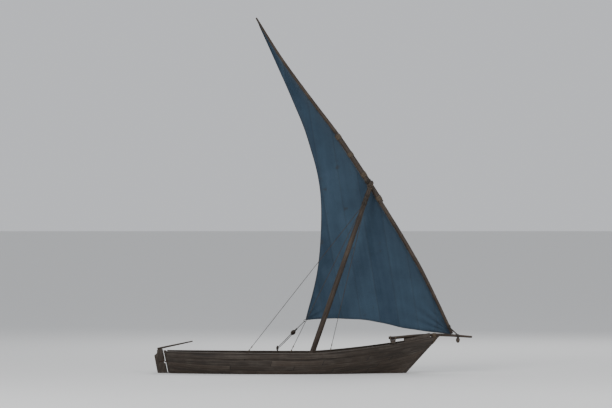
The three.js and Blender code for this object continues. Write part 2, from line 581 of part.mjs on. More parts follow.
// Sail: laced under the yard from tack to peak, bellied to port; its outer edge is foot, then leech
const CLEW = [135, 1462];
const FOOT = [[4190, 1085], [3017, 1234], [1900, 1462], [781, 1512], CLEW];
const LEECH = [CLEW, [500, 3050], [560, 5000], [222, 6500], [-260, 7741], [-1195, 9830]];
const SAIL_GAP = 1;
const CLEW_SHARE = 0.42;        // place up the luff that faces the clew
const CLEW_OUT = 430;           // the clew is trimmed this far to leeward
const BELLY = 400;
const ACROSS = 8;
const HEAD_SHIFT = { side: [0.5, 0.68], ahead: [0.62, 0.70] };   // the head moves from the lower pole to the upper
const sailTs = [...lowerTs, ...upperTs.filter((t) => t > LAP.to)];
const curve = (points) => new THREE.SplineCurve(points.map(([x, z]) => new THREE.Vector2(x, z)));
const [foot, leech] = [curve(FOOT), curve(LEECH)];
const outerEdge = (t) => (t < CLEW_SHARE
  ? foot.getPointAt(t / CLEW_SHARE)
  : leech.getPointAt((t - CLEW_SHARE) / (1 - CLEW_SHARE)));
const easedTo = (t) => (t < CLEW_SHARE ? t / CLEW_SHARE : (1 - t) / (1 - CLEW_SHARE));
function luffAt(t) {
  const radius = lapShare(t) * lowerR(t) + (1 - lapShare(t)) * upperR(t);
  const across = THREE.MathUtils.smoothstep(t, ...HEAD_SHIFT.side) * lapApart(t);
  const ahead = THREE.MathUtils.smoothstep(t, ...HEAD_SHIFT.ahead) * lapApart(t) * Math.sin(LAP.turn);
  return yardAt(t).addScaledVector(yardOut, ahead - radius - SAIL_GAP).add(new THREE.Vector3(0, across, 0));
}
function sailAt(t, w) {
  const luff = luffAt(t), edge = outerEdge(t);
  const swell = Math.sin(Math.PI / 2 * easedTo(t));
  return new THREE.Vector3(
    luff.x + (edge.x - luff.x) * w,
    luff.y + CLEW_OUT * swell * w * w + BELLY * swell * Math.sin(Math.PI * w ** 0.8),
    luff.z + (edge.y - luff.z) * w,
  );
}
const acrossWs = spread(0, 1, ACROSS);
add("sail", loft(sailTs.map((t) => [1, -1].flatMap((face) => {
  const line = acrossWs.map((w) => sailAt(t, w).add(new THREE.Vector3(0, (face * SAIL_THICK) / 2, 0)));
  return face > 0 ? line : line.reverse();
}))), CLOTH);

export default parts;
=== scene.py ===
"""A small open lateen dhow, afloat: its looks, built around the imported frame."""
import math

import bmesh
import bpy
import mathutils
import numpy as np
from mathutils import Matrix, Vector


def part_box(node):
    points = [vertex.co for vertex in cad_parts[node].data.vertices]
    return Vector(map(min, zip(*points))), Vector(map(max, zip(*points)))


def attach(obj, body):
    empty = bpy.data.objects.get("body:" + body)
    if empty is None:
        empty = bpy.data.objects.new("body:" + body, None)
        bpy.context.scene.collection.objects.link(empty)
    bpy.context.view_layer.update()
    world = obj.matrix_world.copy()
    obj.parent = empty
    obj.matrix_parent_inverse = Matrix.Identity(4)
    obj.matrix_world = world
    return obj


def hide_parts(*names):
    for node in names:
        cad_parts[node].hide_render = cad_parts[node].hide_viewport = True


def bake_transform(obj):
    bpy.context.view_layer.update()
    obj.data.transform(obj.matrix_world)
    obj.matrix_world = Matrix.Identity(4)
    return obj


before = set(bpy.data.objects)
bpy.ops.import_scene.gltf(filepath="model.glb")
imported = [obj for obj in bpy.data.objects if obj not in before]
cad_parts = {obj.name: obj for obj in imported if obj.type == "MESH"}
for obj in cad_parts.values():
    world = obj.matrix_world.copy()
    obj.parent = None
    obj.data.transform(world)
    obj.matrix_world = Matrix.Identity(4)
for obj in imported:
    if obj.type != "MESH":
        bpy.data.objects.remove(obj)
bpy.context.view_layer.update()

# View and light
# The camera looks at the boat's starboard side from far off, a little above the water, through a long lens.
# The floor is the still water's level, with a hole where the hull lies in it, so the hull's form is set here.
VIEW_AT = (0.15, 4.75)          # X and Z of the picture's centre, m
VIEW_WIDE = 17.2
VIEW_RISE = math.radians(0.47)
VIEW_FAR = 150.0
SENSOR = 36.0


def placed(name, data):
    """A new object in the scene."""
    made = bpy.data.objects.new(name, data)
    bpy.context.collection.objects.link(made)
    return made


camera_data = bpy.data.cameras.new("long_lens")
camera_data.sensor_width = SENSOR
camera_data.lens = SENSOR * VIEW_FAR / VIEW_WIDE
camera_data.clip_end = 3 * VIEW_FAR
camera = placed("camera", camera_data)
camera.location = (VIEW_AT[0], -VIEW_FAR * math.cos(VIEW_RISE), VIEW_AT[1] + VIEW_FAR * math.sin(VIEW_RISE))
camera.rotation_euler = (math.pi / 2 - VIEW_RISE, 0, 0)
bpy.context.scene.camera = camera

KEEL_HALF = 0.046               # half its breadth
RABBET_Z = -0.38                # the planks' lower edge
STEM_AT_WATER, STEM_RAKE = 2.96, 0.912
RABBET_SET = 0.09               # the planks end this far behind the stem's leading edge
STERN_AT_WATER, STERN_RAKE = -3.64, 0.2126
SEAT = 0.0004                   # gap between pieces that touch
PLANK = 0.028                   # its thickness
SHEER_LOW, SHEER_LOW_X = 0.55, 0.2
SHEER_BOW_RISE, SHEER_BOW_RUN, SHEER_BOW_BEND = 0.443, 3.482, 1.45
SHEER_STERN_RISE, SHEER_STERN_RUN = 0.045, 4.0
POST_Y = KEEL_HALF + SEAT
STATIONS = np.array([  # share of length, two control points (half breadth, share of depth), half breadth
    (0.00, 0.048, 0.42, 0.430, 0.44, 0.520),
    (0.15, 0.120, 0.20, 0.800, 0.32, 0.815),
    (0.35, 0.620, 0.10, 1.050, 0.30, 1.040),
    (0.55, 0.720, 0.09, 1.085, 0.30, 1.090),
    (0.75, 0.380, 0.13, 0.850, 0.36, 0.950),
    (0.90, 0.130, 0.22, 0.330, 0.50, 0.560),
    (1.00, POST_Y, 0.33, POST_Y, 0.66, POST_Y),
])
NORMAL_STEP = 0.004             # share of length or section over which a normal is taken
LEVEL_OVER, SQUARE_OVER = 0.07, 0.02   # shares over which it turns level at the sheer, sideways at the ends


def read_rows(rows, column, at):
    """A cubic through a table's rows; the slope at a row is that between its two neighbours."""
    x, y = rows[:, 0], rows[:, column]
    slope = np.gradient(y, x)
    slope[1:-1] = (y[2:] - y[:-2]) / (x[2:] - x[:-2])
    i = np.clip(np.searchsorted(x, at, side="left") - 1, 0, len(x) - 2)
    span = x[i + 1] - x[i]
    s = (at - x[i]) / span
    return ((2 * s**3 - 3 * s**2 + 1) * y[i] + (s**3 - 2 * s**2 + s) * slope[i] * span
            + (3 * s**2 - 2 * s**3) * y[i + 1] + (s**3 - s**2) * slope[i + 1] * span)


def unit(vectors):
    """Vectors made 1 long."""
    vectors = np.asarray(vectors, float)
    return vectors / np.maximum(np.linalg.norm(vectors, axis=-1, keepdims=True), 1e-9)


def stacked(*columns):
    """Points from their coordinates, each a number or an array."""
    return np.stack(np.broadcast_arrays(*columns), -1)


def stern_x(z):
    """After face of the transom at a height."""
    return STERN_AT_WATER - STERN_RAKE * z


def stem_x(z):
    """Leading edge of the stem at a height."""
    return STEM_AT_WATER + STEM_RAKE * z


def length_x(u, z):
    """Place along the boat at a share of the planks' length, at a height."""
    return stern_x(z) + u * (stem_x(z) - RABBET_SET - stern_x(z))


def share_at(x, z):
    """Share of the planks' length at a place and height."""
    return (x - stern_x(z)) / (stem_x(z) - RABBET_SET - stern_x(z))


def sheer_z(x):
    """Height of the hull's upper edge: a power curve to the bow, a parabola to the stern."""
    fore = SHEER_BOW_RISE * (np.maximum(x - SHEER_LOW_X, 0) / SHEER_BOW_RUN) ** SHEER_BOW_BEND
    aft = SHEER_STERN_RISE * (np.maximum(SHEER_LOW_X - x, 0) / SHEER_STERN_RUN) ** 2
    return SHEER_LOW + fore + aft


def hull(u, v):
    """Inner face of the planking: a cubic curve up each section, from the keel's side to the sheer."""
    u, v = np.broadcast_arrays(np.asarray(u, float), np.asarray(v, float))
    top = np.full(u.shape, SHEER_LOW)
    for _ in range(6):
        top = sheer_z(length_x(u, top))
    y1, z1, y2, z2, y3 = (read_rows(STATIONS, column, u) for column in range(1, 6))
    w = 1 - v
    y = w**3 * POST_Y + 3 * w**2 * v * y1 + 3 * w * v**2 * y2 + v**3 * y3
    z = RABBET_Z + (top - RABBET_Z) * (3 * w**2 * v * z1 + 3 * w * v**2 * z2 + v**3)
    return stacked(length_x(u, z), np.maximum(y, POST_Y), z)


def skin(u, v, out):
    """Hull moved outward along its normal, which turns level towards the sheer and sideways at the ends."""
    u, v, out = np.broadcast_arrays(*(np.asarray(value, float) for value in (u, v, out)))
    along = hull(np.minimum(u + NORMAL_STEP, 1), v) - hull(np.maximum(u - NORMAL_STEP, 0), v)
    up = hull(u, np.minimum(v + NORMAL_STEP, 1)) - hull(u, np.maximum(v - NORMAL_STEP, 0))
    normal = unit(np.cross(along, up))
    normal *= np.where(normal[..., 1:2] < 0, -1.0, 1.0)
    normal[..., 2] *= np.clip((1 - v) / LEVEL_OVER, 0, 1)
    normal[..., 0] *= np.clip(np.minimum(u, 1 - u) / SQUARE_OVER, 0, 1)
    return hull(u, v) + unit(normal) * out[..., None]


def row_at(u, z, out):
    """Share of the section where the skin at a distance out passes a height, by halving."""
    low, high = np.zeros_like(u), np.ones_like(u)
    for _ in range(26):
        middle = (low + high) / 2
        under = skin(u, middle, out)[:, 2] < z
        low, high = np.where(under, middle, low), np.where(under, high, middle)
    return low


FLOOR_HALF = 400.0
loop_u = np.concatenate([np.linspace(0, 0.05, 6), np.linspace(0.07, 0.93, 60), np.linspace(0.94, 1, 12)])
loop = skin(loop_u, row_at(loop_u, 0.0, PLANK / 2), PLANK / 2)
loop = np.concatenate([loop, loop[::-1] * (1, -1, 1)]) * (1, 1, 0)
far = loop / np.abs(loop[:, :2]).max(1, keepdims=True) * FLOOR_HALF
k = np.arange(len(loop))
rim = stacked(k, np.roll(k, -1), np.roll(k, -1) + len(loop), k + len(loop)).tolist()
pale = bpy.data.materials.new("pale_floor")
pale.use_nodes = True
pale.node_tree.nodes["Principled BSDF"].inputs["Base Color"].default_value = (0.72, 0.72, 0.71, 1)
pale.node_tree.nodes["Principled BSDF"].inputs["Roughness"].default_value = 0.9
floor_mesh = bpy.data.meshes.new("floor")
floor_mesh.from_pydata(np.concatenate([loop, far]).tolist(), [], rim)
floor_mesh.materials.append(pale)
placed("floor", floor_mesh)

world = bpy.data.worlds.new("studio")
world.use_nodes = True
world.node_tree.nodes["Background"].inputs["Color"].default_value = (0.86, 0.88, 0.92, 1)
world.node_tree.nodes["Background"].inputs["Strength"].default_value = 0.75
bpy.context.scene.world = world
LAMP_AIM = np.array([0, 0, 3.0])
LAMPS = (("key", (-14, -26, 22), 14, 5200), ("fill", (20, -20, 10), 16, 2200),   # place, size in m, watts
         ("back", (6, 24, 20), 14, 2600))
for lamp_name, place, lamp_size, watts in LAMPS:
    lamp_data = bpy.data.lights.new(lamp_name, "AREA")
    lamp_data.size, lamp_data.energy = lamp_size, watts
    lamp = placed(lamp_name, lamp_data)
    lamp.location = place
    aim = unit(LAMP_AIM - np.array(place))
    lamp.rotation_euler = (math.acos(-aim[2]), 0, math.atan2(aim[1], aim[0]) - math.pi / 2)

# Planking
# Sawn planks of dark oiled timber, bent round the frames and laid edge to edge, with caulked seams.
# Each side is one skin of strakes; the butts are staggered, and the nails' heads sit in rows on the frames.
SIDES = (("starboard", -1), ("port", 1))


def mesh_piece(name, vertices, faces, grain=None, marks=None, smooth=True):
    """A closed mesh, faces turned outward; grain is each vertex's place in the material, marks are values."""
    mesh = bpy.data.meshes.new(name)
    vertices = np.asarray(vertices, np.float64).reshape(-1, 3)
    mesh.from_pydata(vertices.tolist(), [], [list(map(int, face)) for face in faces])
    place = mesh.attributes.new("grain", "FLOAT_VECTOR", "POINT")
    place.data.foreach_set("vector", np.asarray(vertices if grain is None else grain, np.float32).ravel())
    for mark, values in (marks or {}).items():
        attribute = mesh.attributes.new(mark, "FLOAT", "POINT")
        attribute.data.foreach_set("value", np.asarray(values, np.float32).ravel())
    mesh.polygons.foreach_set("use_smooth", np.full(len(mesh.polygons), smooth))
    mesh.update()
    mesh.calc_loop_triangles()
    corners = np.empty(len(mesh.loop_triangles) * 3, np.int32)
    mesh.loop_triangles.foreach_get("vertices", corners)
    a, b, c = vertices[corners.reshape(-1, 3)].transpose(1, 0, 2)
    if np.einsum("ij,ij->i", a, np.cross(b, c)).sum() < 0:
        mesh.flip_normals()
    return placed(name, mesh)


def ring_faces(rings, size, close_ends=True, flip=False):
    """Faces between rings of equal size, and across the two end rings in strips of quads."""
    r, i = np.meshgrid(np.arange(rings - 1), np.arange(size), indexing="ij")
    j = (i + 1) % size
    faces = stacked(r * size + i, r * size + j, (r + 1) * size + j, (r + 1) * size + i).reshape(-1, 4)
    if close_ends:
        k = np.arange(size // 2 - 1)
        cap = stacked(k, size - 1 - k, size - 2 - k, k + 1)
        faces = np.concatenate([faces, cap, cap[:, ::-1] + (rings - 1) * size])
    return faces[:, ::-1] if flip else faces


def bar(rings, tone, grain=None, flip=False):
    """A closed bar through rings of points, for join(): points, faces, grain and tone."""
    grain = rings if grain is None else grain
    return (rings.reshape(-1, 3), ring_faces(*rings.shape[:2], flip=flip), grain.reshape(-1, 3),
            np.full(rings.shape[0] * rings.shape[1], tone))


def join(name, parts, mark="tone", smooth=False):
    """One piece from several parts, each given as its points, faces, grain and the values of one mark."""
    starts = np.cumsum([0] + [len(part[0]) for part in parts[:-1]])
    parts = [(points, faces + start, *rest) for (points, faces, *rest), start in zip(parts, starts)]
    points, faces, grain, values = (np.concatenate(rows) for rows in zip(*parts))
    return mesh_piece(name, points, faces, grain, {mark: values}, smooth)


class Field:
    """A value in a shader; sums and products of fields add the nodes that work them out."""

    def __init__(self, socket):
        """Keeps the output that gives the value, and the node tree it is in."""
        self.socket = socket
        self.tree = socket.id_data

    def math(self, operation, other=0.0, swap=False):
        """This value and another through one math node; swap puts the other first."""
        pair = (other, self) if swap else (self, other)
        return field(self.tree, "ShaderNodeMath", dict(enumerate(pair)), operation=operation)

    def __add__(self, other):
        """This plus another."""
        return self.math("ADD", other)

    def __sub__(self, other):
        """This less another."""
        return self.math("SUBTRACT", other)

    def __rsub__(self, other):
        """A number less this."""
        return self.math("SUBTRACT", other, swap=True)

    def __mul__(self, other):
        """This times another."""
        return self.math("MULTIPLY", other)


def feed(socket, value):
    """Sets an input to a value, or links a field to it."""
    if isinstance(value, Field):
        socket.id_data.links.new(value.socket, socket)
    else:
        socket.default_value = value


def node(tree, kind, inputs=None, **settings):
    """One shader node with its settings and inputs."""
    made = tree.nodes.new(kind)
    for key, value in settings.items():
        setattr(made, key, value)
    for key, value in (inputs or {}).items():
        feed(made.inputs[key], value)
    return made


def field(tree, kind, inputs=None, output=0, **settings):
    """The value that one shader node gives."""
    return Field(node(tree, kind, inputs, **settings).outputs[output])


def vector(place, other, operation="ADD"):
    """A sum or product of two places."""
    return field(place.tree, "ShaderNodeVectorMath", {0: place, 1: other}, operation=operation)


def shaded(color, shade):
    """A colour times a value."""
    return field(shade.tree, "ShaderNodeVectorMath", {0: color, "Scale": shade}, operation="SCALE")


def offset(tone, **scales):
    """A place that shifts with a tone, along the axes that are named."""
    parts = {axis: tone * scale if scale != 1 else tone for axis, scale in scales.items()}
    return field(tone.tree, "ShaderNodeCombineXYZ", parts)


def noise(place, scale, detail, stretch=None, **more):
    """Cloudy noise from 0 to 1; stretch multiplies the place first."""
    place = vector(place, stretch, "MULTIPLY") if stretch else place
    inputs = {"Vector": place, "Scale": scale, "Detail": detail, **more}
    return field(place.tree, "ShaderNodeTexNoise", inputs)


def ramp(fac, low, high, start=0.0, end=1.0):
    """A value that goes from start to end while fac goes from low to high."""
    inputs = {"Value": fac, "From Min": low, "From Max": high, "To Min": start, "To Max": end}
    return field(fac.tree, "ShaderNodeMapRange", inputs, clamp=True)


def mix(fac, a, b):
    """Colour a where fac is 0, colour b where it is 1."""
    return field(fac.tree, "ShaderNodeMix", {"Factor": fac, 6: a, 7: b}, 2, data_type="RGBA")


def new_group(name, inputs, outputs, build):
    """A node group with named sockets; build works out its outputs from its inputs, in their order."""
    kinds = {"Vector": "Vector", **dict.fromkeys(("Color", "Dark", "Light", "Pale"), "Color")}
    group = bpy.data.node_groups.new(name, "ShaderNodeTree")
    for way, labels in (("INPUT", inputs), ("OUTPUT", outputs)):
        for label in labels:
            kind = "NodeSocket" + kinds.get(label, "Float")
            group.interface.new_socket(name=label, in_out=way, socket_type=kind)
    given, result = group.nodes.new("NodeGroupInput"), group.nodes.new("NodeGroupOutput")
    for label, value in zip(outputs, build(*(Field(given.outputs[label]) for label in inputs))):
        feed(result.inputs[label], value)
    return group


def timber_look(place, tone, dark, light, pale, wear):
    """Fibres and drying cracks along X, a tone for each plank, bleached patches, worn pores."""
    place = vector(place, offset(tone, X=23.0, Z=1))
    fibre = noise(place, 1.0, 7.0, (1.6, 42.0, 42.0), Roughness=0.62)
    crack = ramp(noise(place, 1.0, 2.0, (0.9, 60.0, 60.0)), 0.30, 0.37, 1.0, 0.0)
    patch = noise(place, 2.3, 5.0, Roughness=0.7)
    color = mix(ramp(fibre, 0.3, 0.7) * 0.65 + tone * 0.45, dark, light)
    color = mix(ramp(patch, 0.45, 0.72) * wear * ramp(fibre, 0.35, 0.6), color, pale)
    color = mix(crack * 0.8, color, (0.006, 0.005, 0.004, 1))
    height = fibre * 0.8 - crack + noise(place, 90.0, 2.0) * 0.25
    return color, ramp(patch + fibre * 0.5, 0.5, 1.1, 0.52, 0.86), height


def new_material(name, slot, group, marks, values, relief, butts=False, **settings):
    """A material and its slot: a group works out its look and relief from attributes and fixed values."""
    material = bpy.data.materials.new(name)
    material.use_nodes = True
    tree = material.node_tree
    look = node(tree, "ShaderNodeGroup", {key: (*value, 1) if isinstance(value, tuple) else value
                                          for key, value in values.items()}, node_tree=group)
    for label, mark in marks.items():
        output = "Vector" if label == "Vector" else "Fac"
        feed(look.inputs[label], field(tree, "ShaderNodeTexCoord", output=mark) if mark == "Object"
             else field(tree, "ShaderNodeAttribute", output=output, attribute_name=mark))
    made = {label: Field(socket) for label, socket in look.outputs.items()}
    if butts:
        seam = ramp(field(tree, "ShaderNodeAttribute", output="Fac", attribute_name="butt"), 0.72, 0.86)
        made["Color"] = mix(seam, made["Color"], (0.004, 0.004, 0.004, 1))
        made["Height"] = made["Height"] - seam * 2.5
    bump = field(tree, "ShaderNodeBump", {"Height": made.pop("Height"), "Distance": relief})
    made = {"Base Color": made.pop("Color"), "Normal": bump, **made, **settings}
    for label, value in made.items():
        feed(tree.nodes["Principled BSDF"].inputs[label], value)
    return material, slot


TIMBER = new_group("timber", ("Vector", "Tone", "Dark", "Light", "Pale", "Wear"),
                   ("Color", "Roughness", "Height"), timber_look)


def timber_material(name, slot, dark, light, pale, wear=0.6, relief=0.0016, butts=False):
    """Timber that reads the grain attribute, in metres, with the fibres along its X."""
    return new_material(name, slot, TIMBER, {"Vector": "grain", "Tone": "tone"},
                        dict(Dark=dark, Light=light, Pale=pale, Wear=wear), relief, butts,
                        **{"Specular IOR Level": 0.35})


def belongs(piece, look, body, *nodes, ends=None):
    """Gives a piece its material and hides the CAD nodes it stands for; it hangs from its body's empty, or,
    if ends are given (their places are not used), has its transform baked in.
    """
    material, slot = look
    piece.data.materials.append(material)
    if ends:
        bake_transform(piece)
    else:
        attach(piece, body)
    if nodes:
        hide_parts(*nodes)
    return piece


TARRED = ((0.012, 0.009, 0.007), (0.060, 0.043, 0.031), (0.115, 0.100, 0.085))
HULL_WOOD = timber_material("tarred_planking", "hull_timber", *TARRED, butts=True)

PLANK_SEAMS = np.array([0, 0.11, 0.215, 0.32, 0.425, 0.53, 0.63, 0.725, 0.815, 0.905, 1])
STRAKES = np.arange(len(PLANK_SEAMS) - 1)
PLANK_PROFILE = ((0, -4.0), (0.035, 0), (0.25, 0.8), (0.75, 0.8), (0.965, 0))  # share of a strake, mm proud
PLANK_STEPS = 220
PLANK_PARED, PLANK_BACK, LET_IN = 0.0008, 0.003, 0.003   # off the face, off the seams' back, into the stem
WAVER = 0.0009                  # the sawn face's unevenness
GIRTH = 1.55                    # of the section, from keel to sheer
row_place, row_proud = np.array([(k + share, proud / 1000) for k in STRAKES for share, proud in PLANK_PROFILE]
                                + [(len(STRAKES), 0)]).T
row_v = np.interp(row_place, np.arange(len(PLANK_SEAMS)), PLANK_SEAMS)
row_strake = np.minimum(row_place.astype(int), STRAKES[-1])
plank_tones = np.random.default_rng(11).random((len(STRAKES), 4))
butt_u = stacked(0.20 + 0.055 * (STRAKES * 3 % 5), 0.52 + 0.055 * ((STRAKES * 2 + 1) % 5),
                 0.80 + 0.030 * (STRAKES % 4))
butt_step = np.rint(butt_u * (PLANK_STEPS - 1)).astype(int)
steps = np.arange(PLANK_STEPS)[:, None, None]
grid_u, grid_v = np.meshgrid(np.linspace(0, 1, PLANK_STEPS), row_v, indexing="ij")
waver = WAVER * np.sin(9.0 * grid_u * (1 + row_strake % 3) + row_strake)
let_in = LET_IN * np.clip((grid_u - 0.97) / 0.03, 0, 1)
outer = skin(grid_u, grid_v, PLANK - PLANK_PARED + row_proud + waver * (row_proud > 0))
inner = skin(grid_u, grid_v, np.where(row_proud < 0, PLANK_BACK, 0.0) - let_in)
tone = plank_tones[row_strake[None], (steps >= butt_step[None]).sum(-1)[:, row_strake]]
butt = (steps == butt_step[None]).any(-1)[:, row_strake] * 1.0
girth, tone, butt = (np.concatenate([values, values[:, ::-1]], 1) for values in (grid_v * GIRTH, tone, butt))
for word, side in SIDES:
    points = np.concatenate([outer, inner[:, ::-1]], axis=1) * (1, side, 1)
    belongs(mesh_piece(f"planks_{word}", points, ring_faces(PLANK_STEPS, 2 * len(row_v)),
                       stacked(points[..., 0], girth, 0), {"tone": tone, "butt": butt}), HULL_WOOD, "hull",
            *[f"planking_{end}_{level}_{word}" for end in ("aft", "fore") for level in ("bottom", "side")])

# Rails, wales, inwales and risers
# Sawn bands of the same dark timber, with worn round edges. The wale is nailed outside the planking's top
# strake and the inwale inside it; the flat rail caps both, and the riser is nailed to the ribs.
HULL_TIMBER = timber_material("tarred_timber", "hull_timber", *TARRED)
WALE, INWALE = 0.030, 0.045     # their thickness
RIB_DEPTH = 0.055
RISER_OUT, RISER_IN = RIB_DEPTH + 2 * SEAT, 0.087
RAIL_IN, RAIL_OUT, RAIL_THICK = 0.062, 0.072, 0.036
SHEER_V = 0.93                  # the wales' and inwales' lower edge
rib_u = np.linspace(0.07, 0.87, 13)            # the ribs' places, as shares of the length
RIB_HALF = 0.025 / (STEM_AT_WATER - STERN_AT_WATER)


def rounded(low, high, inner, outer, radius_v, radius_out):
    """Places round a band's section: (place up the section, distance out) with cut corners."""
    middle = (low + high) / 2
    return [(low, inner + radius_out), (low, outer - radius_out), (low + radius_v, outer), (middle, outer),
            (high - radius_v, outer), (high, outer - radius_out), (high, inner + radius_out),
            (high - radius_v, inner), (middle, inner), (low + radius_v, inner)]


RAIL_SECTION = (                # from 1 to 2 a place is above the sheer, on the rail's side
    (1.01, -RAIL_IN + 0.006), (1.01, RAIL_OUT - 0.006), (1.16, RAIL_OUT), (1.75, RAIL_OUT),
    (1.93, RAIL_OUT - 0.004), (2.0, RAIL_OUT - 0.014), (2.0, -RAIL_IN + 0.012), (1.93, -RAIL_IN + 0.003),
    (1.75, -RAIL_IN), (1.16, -RAIL_IN))
BANDS = (  # name, share of length from and to, rings, section, nodes
    ("wale_band", 0, 1, 200, rounded(SHEER_V, 1, PLANK + SEAT, PLANK + WALE, 0.006, 0.006), ("wale",)),
    ("rail_cap", 0, 0.98, 200, RAIL_SECTION, ("rail",)),
    ("inwale_band", 0.03, 0.955, 180, rounded(SHEER_V, 1, -INWALE, -SEAT, 0.006, 0.006), ("inwale",)),
    ("riser_band", rib_u[0] - RIB_HALF, rib_u[-1] + RIB_HALF, 160,
     rounded(0.82, 0.87, -RISER_IN, -RISER_OUT, 0.004, 0.005), ("riser_aft", "riser_middle", "riser_fore")))
for word, side in SIDES:
    for name, start, end, rings, section, nodes in BANDS:
        place, out = np.array(section).T
        v, up = np.minimum(place, 1), np.maximum(place - 1, 0) * RAIL_THICK
        points = skin(np.linspace(start, end, rings)[:, None], v, out)
        points[..., 1] = np.maximum(points[..., 1], 0.002) * side
        points[..., 2] += up
        grain = stacked(points[..., 0], v * GIRTH + up, out)
        belongs(join(f"{name}_{word}", [bar(points, 0.35 + 0.3 * (side > 0), grain)], smooth=True),
                HULL_TIMBER, "hull", *[f"{node_name}_{word}" for node_name in nodes])

# Ribs and keelson
# Grown timbers of dark wood, adzed smooth; each rib runs from side to side over the keel, and the keelson
# is notched over them all.
KEEL_TOP = -0.34
DEADWOOD_START, DEADWOOD_RISE = -2.3, 0.23
FLOOR_HEIGHT = 0.075            # of the ribs over the keel
RIB_GAP = 0.0007                # between rib and planking
RIB_LAP = 0.005                 # its two halves meet this far past the middle
RIB_HEEL = (0.006, 0.008)       # a half starts this far out from the keel's side and above it
RIB_ACROSS = np.array([-1.0, -0.8, 0.8, 1.0])    # share of the rib's half width
RIB_CUT = np.array([0.006, 0.0, 0.0, 0.006])     # how far it is cut back there
KEELSON = dict(half=0.040, low=0.050, high=0.125, aft=-3.18, fore=1.8)


def deadwood_top(x):
    """Upper face of the keel and of the deadwood on it."""
    share = np.maximum(0, (DEADWOOD_START - x) / (DEADWOOD_START - stern_x(KEEL_TOP)))
    return KEEL_TOP + SEAT + DEADWOOD_RISE * share


ribs = []
for k, u in enumerate(rib_u):
    floor_z = float(deadwood_top(length_x(u, KEEL_TOP))) + SEAT
    v = np.linspace(0, SHEER_V, 60)
    face = hull(u, v)
    clear = (face[:, 1:] > (KEEL_HALF + RIB_HEEL[0], floor_z + RIB_HEEL[1])).all(1)
    v = np.linspace(v[clear][0], SHEER_V, 40)
    edge_u = u + RIB_ACROSS[:, None] * RIB_HALF
    outer = skin(edge_u, v, -RIB_GAP)
    inner = skin(edge_u, v, -RIB_DEPTH + RIB_CUT[:, None])
    inner[..., 1] = np.maximum(inner[..., 1], 0.001)
    inner[:, 0, 2] = np.maximum(inner[:, 0, 2], floor_z + FLOOR_HEIGHT - RIB_CUT)
    low, high = (stacked(outer[:, 0, 0], -RIB_LAP, np.maximum(z, floor_z))[:, None]
                 for z in (floor_z, inner[:, 0, 2]))
    for side in (1, -1):
        ring = np.concatenate([low, outer, inner[:, ::-1], high], axis=1) * (1, side, 1)
        grain = stacked(np.abs(ring[..., 1]) + ring[..., 2], ring[..., 0], ring[..., 2] - ring[..., 1])
        ribs.append(bar(ring, (k * 0.37) % 1, grain + (k * 3.7, 0, side), flip=side < 0))
x = np.array([KEELSON["aft"], DEADWOOD_START, KEELSON["fore"]])
section = ((-1, "low", 0), (-1, "high", -0.008), (-0.8, "high", 0), (0.8, "high", 0), (1, "high", -0.008),
           (1, "low", 0))              # share of the half breadth, which face, height from it
ring = np.stack([stacked(x, KEELSON["half"] * y, deadwood_top(x) + KEELSON[level] + drop)
                 for y, level, drop in section], 1)
belongs(join("ribs_and_keelson", ribs + [bar(ring, 0.4)]), HULL_TIMBER, "hull", "frames_and_keelson")

# Keel, stem, posts, transom and beams
# Heavy sawn timbers of dark hardwood, bolted together, with the planks' ends nailed to them. Their arrises
# are worn round, and the grain runs along each piece. The rudder's blade is of the same boards.
LEVEL = (0, 0)                  # the grain's turn about Y, then Z
STERN_TURN = (math.pi / 2 - math.atan(STERN_RAKE), 0)
STEM_TURN = (math.atan2(1, STEM_RAKE), 0)
ATHWART = (0, -math.pi / 2)
FLAT_BELOW, SHARP_ABOVE = math.radians(1.0), math.radians(25)


def timber(name, node_name, grain_turn, bevel, tone=0.4, look=HULL_TIMBER, body="hull"):
    """A CAD node's shape with its flat faces whole and its edges rounded."""
    shape = bmesh.new()
    shape.from_mesh(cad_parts[node_name].data)
    bmesh.ops.remove_doubles(shape, verts=shape.verts, dist=1e-5)
    bmesh.ops.dissolve_limit(shape, angle_limit=FLAT_BELOW, verts=shape.verts, edges=shape.edges)
    sharp = [edge for edge in shape.edges if edge.calc_face_angle(0) > SHARP_ABOVE]
    bmesh.ops.bevel(shape, geom=sharp, offset=bevel, segments=2, profile=0.6, affect="EDGES",
                    clamp_overlap=True)
    bmesh.ops.triangulate(shape, faces=[face for face in shape.faces if len(face.verts) > 4])
    shape.verts.index_update()
    points = np.array([vertex.co[:] for vertex in shape.verts])
    faces = [[vertex.index for vertex in face.verts] for face in shape.faces]
    shape.free()
    about_y, about_z = grain_turn
    turn = np.array(mathutils.Matrix.Rotation(about_z, 3, "Z") @ mathutils.Matrix.Rotation(about_y, 3, "Y"))
    marks = {"tone": np.full(len(points), tone)}
    piece = mesh_piece(name, points, faces, points @ turn.T, marks, smooth=False)
    return belongs(piece, look, body, node_name)


timber("keel_timber", "keel", LEVEL, 0.006, 0.3)
timber("stem_timber", "stem_post", STEM_TURN, 0.010, 0.5)
timber("stern_post_timber", "stern_post", STERN_TURN, 0.006, 0.6)
timber("deadwood_timber", "stern_deadwood", LEVEL, 0.003, 0.2)
timber("mooring_beam_timber", "mooring_beam", ATHWART, 0.012, 0.7)
timber("step_block", "mast_step", LEVEL, 0.006, 0.5)
for word, side in SIDES:
    timber(f"washboard_{word}_board", f"washboard_{word}", LEVEL, 0.005, 0.6)
timber("transom_board", "transom", ATHWART, 0.003, 0.45)
timber("rudder_board", "rudder_blade", STERN_TURN, 0.006, 0.5, body="rudder")

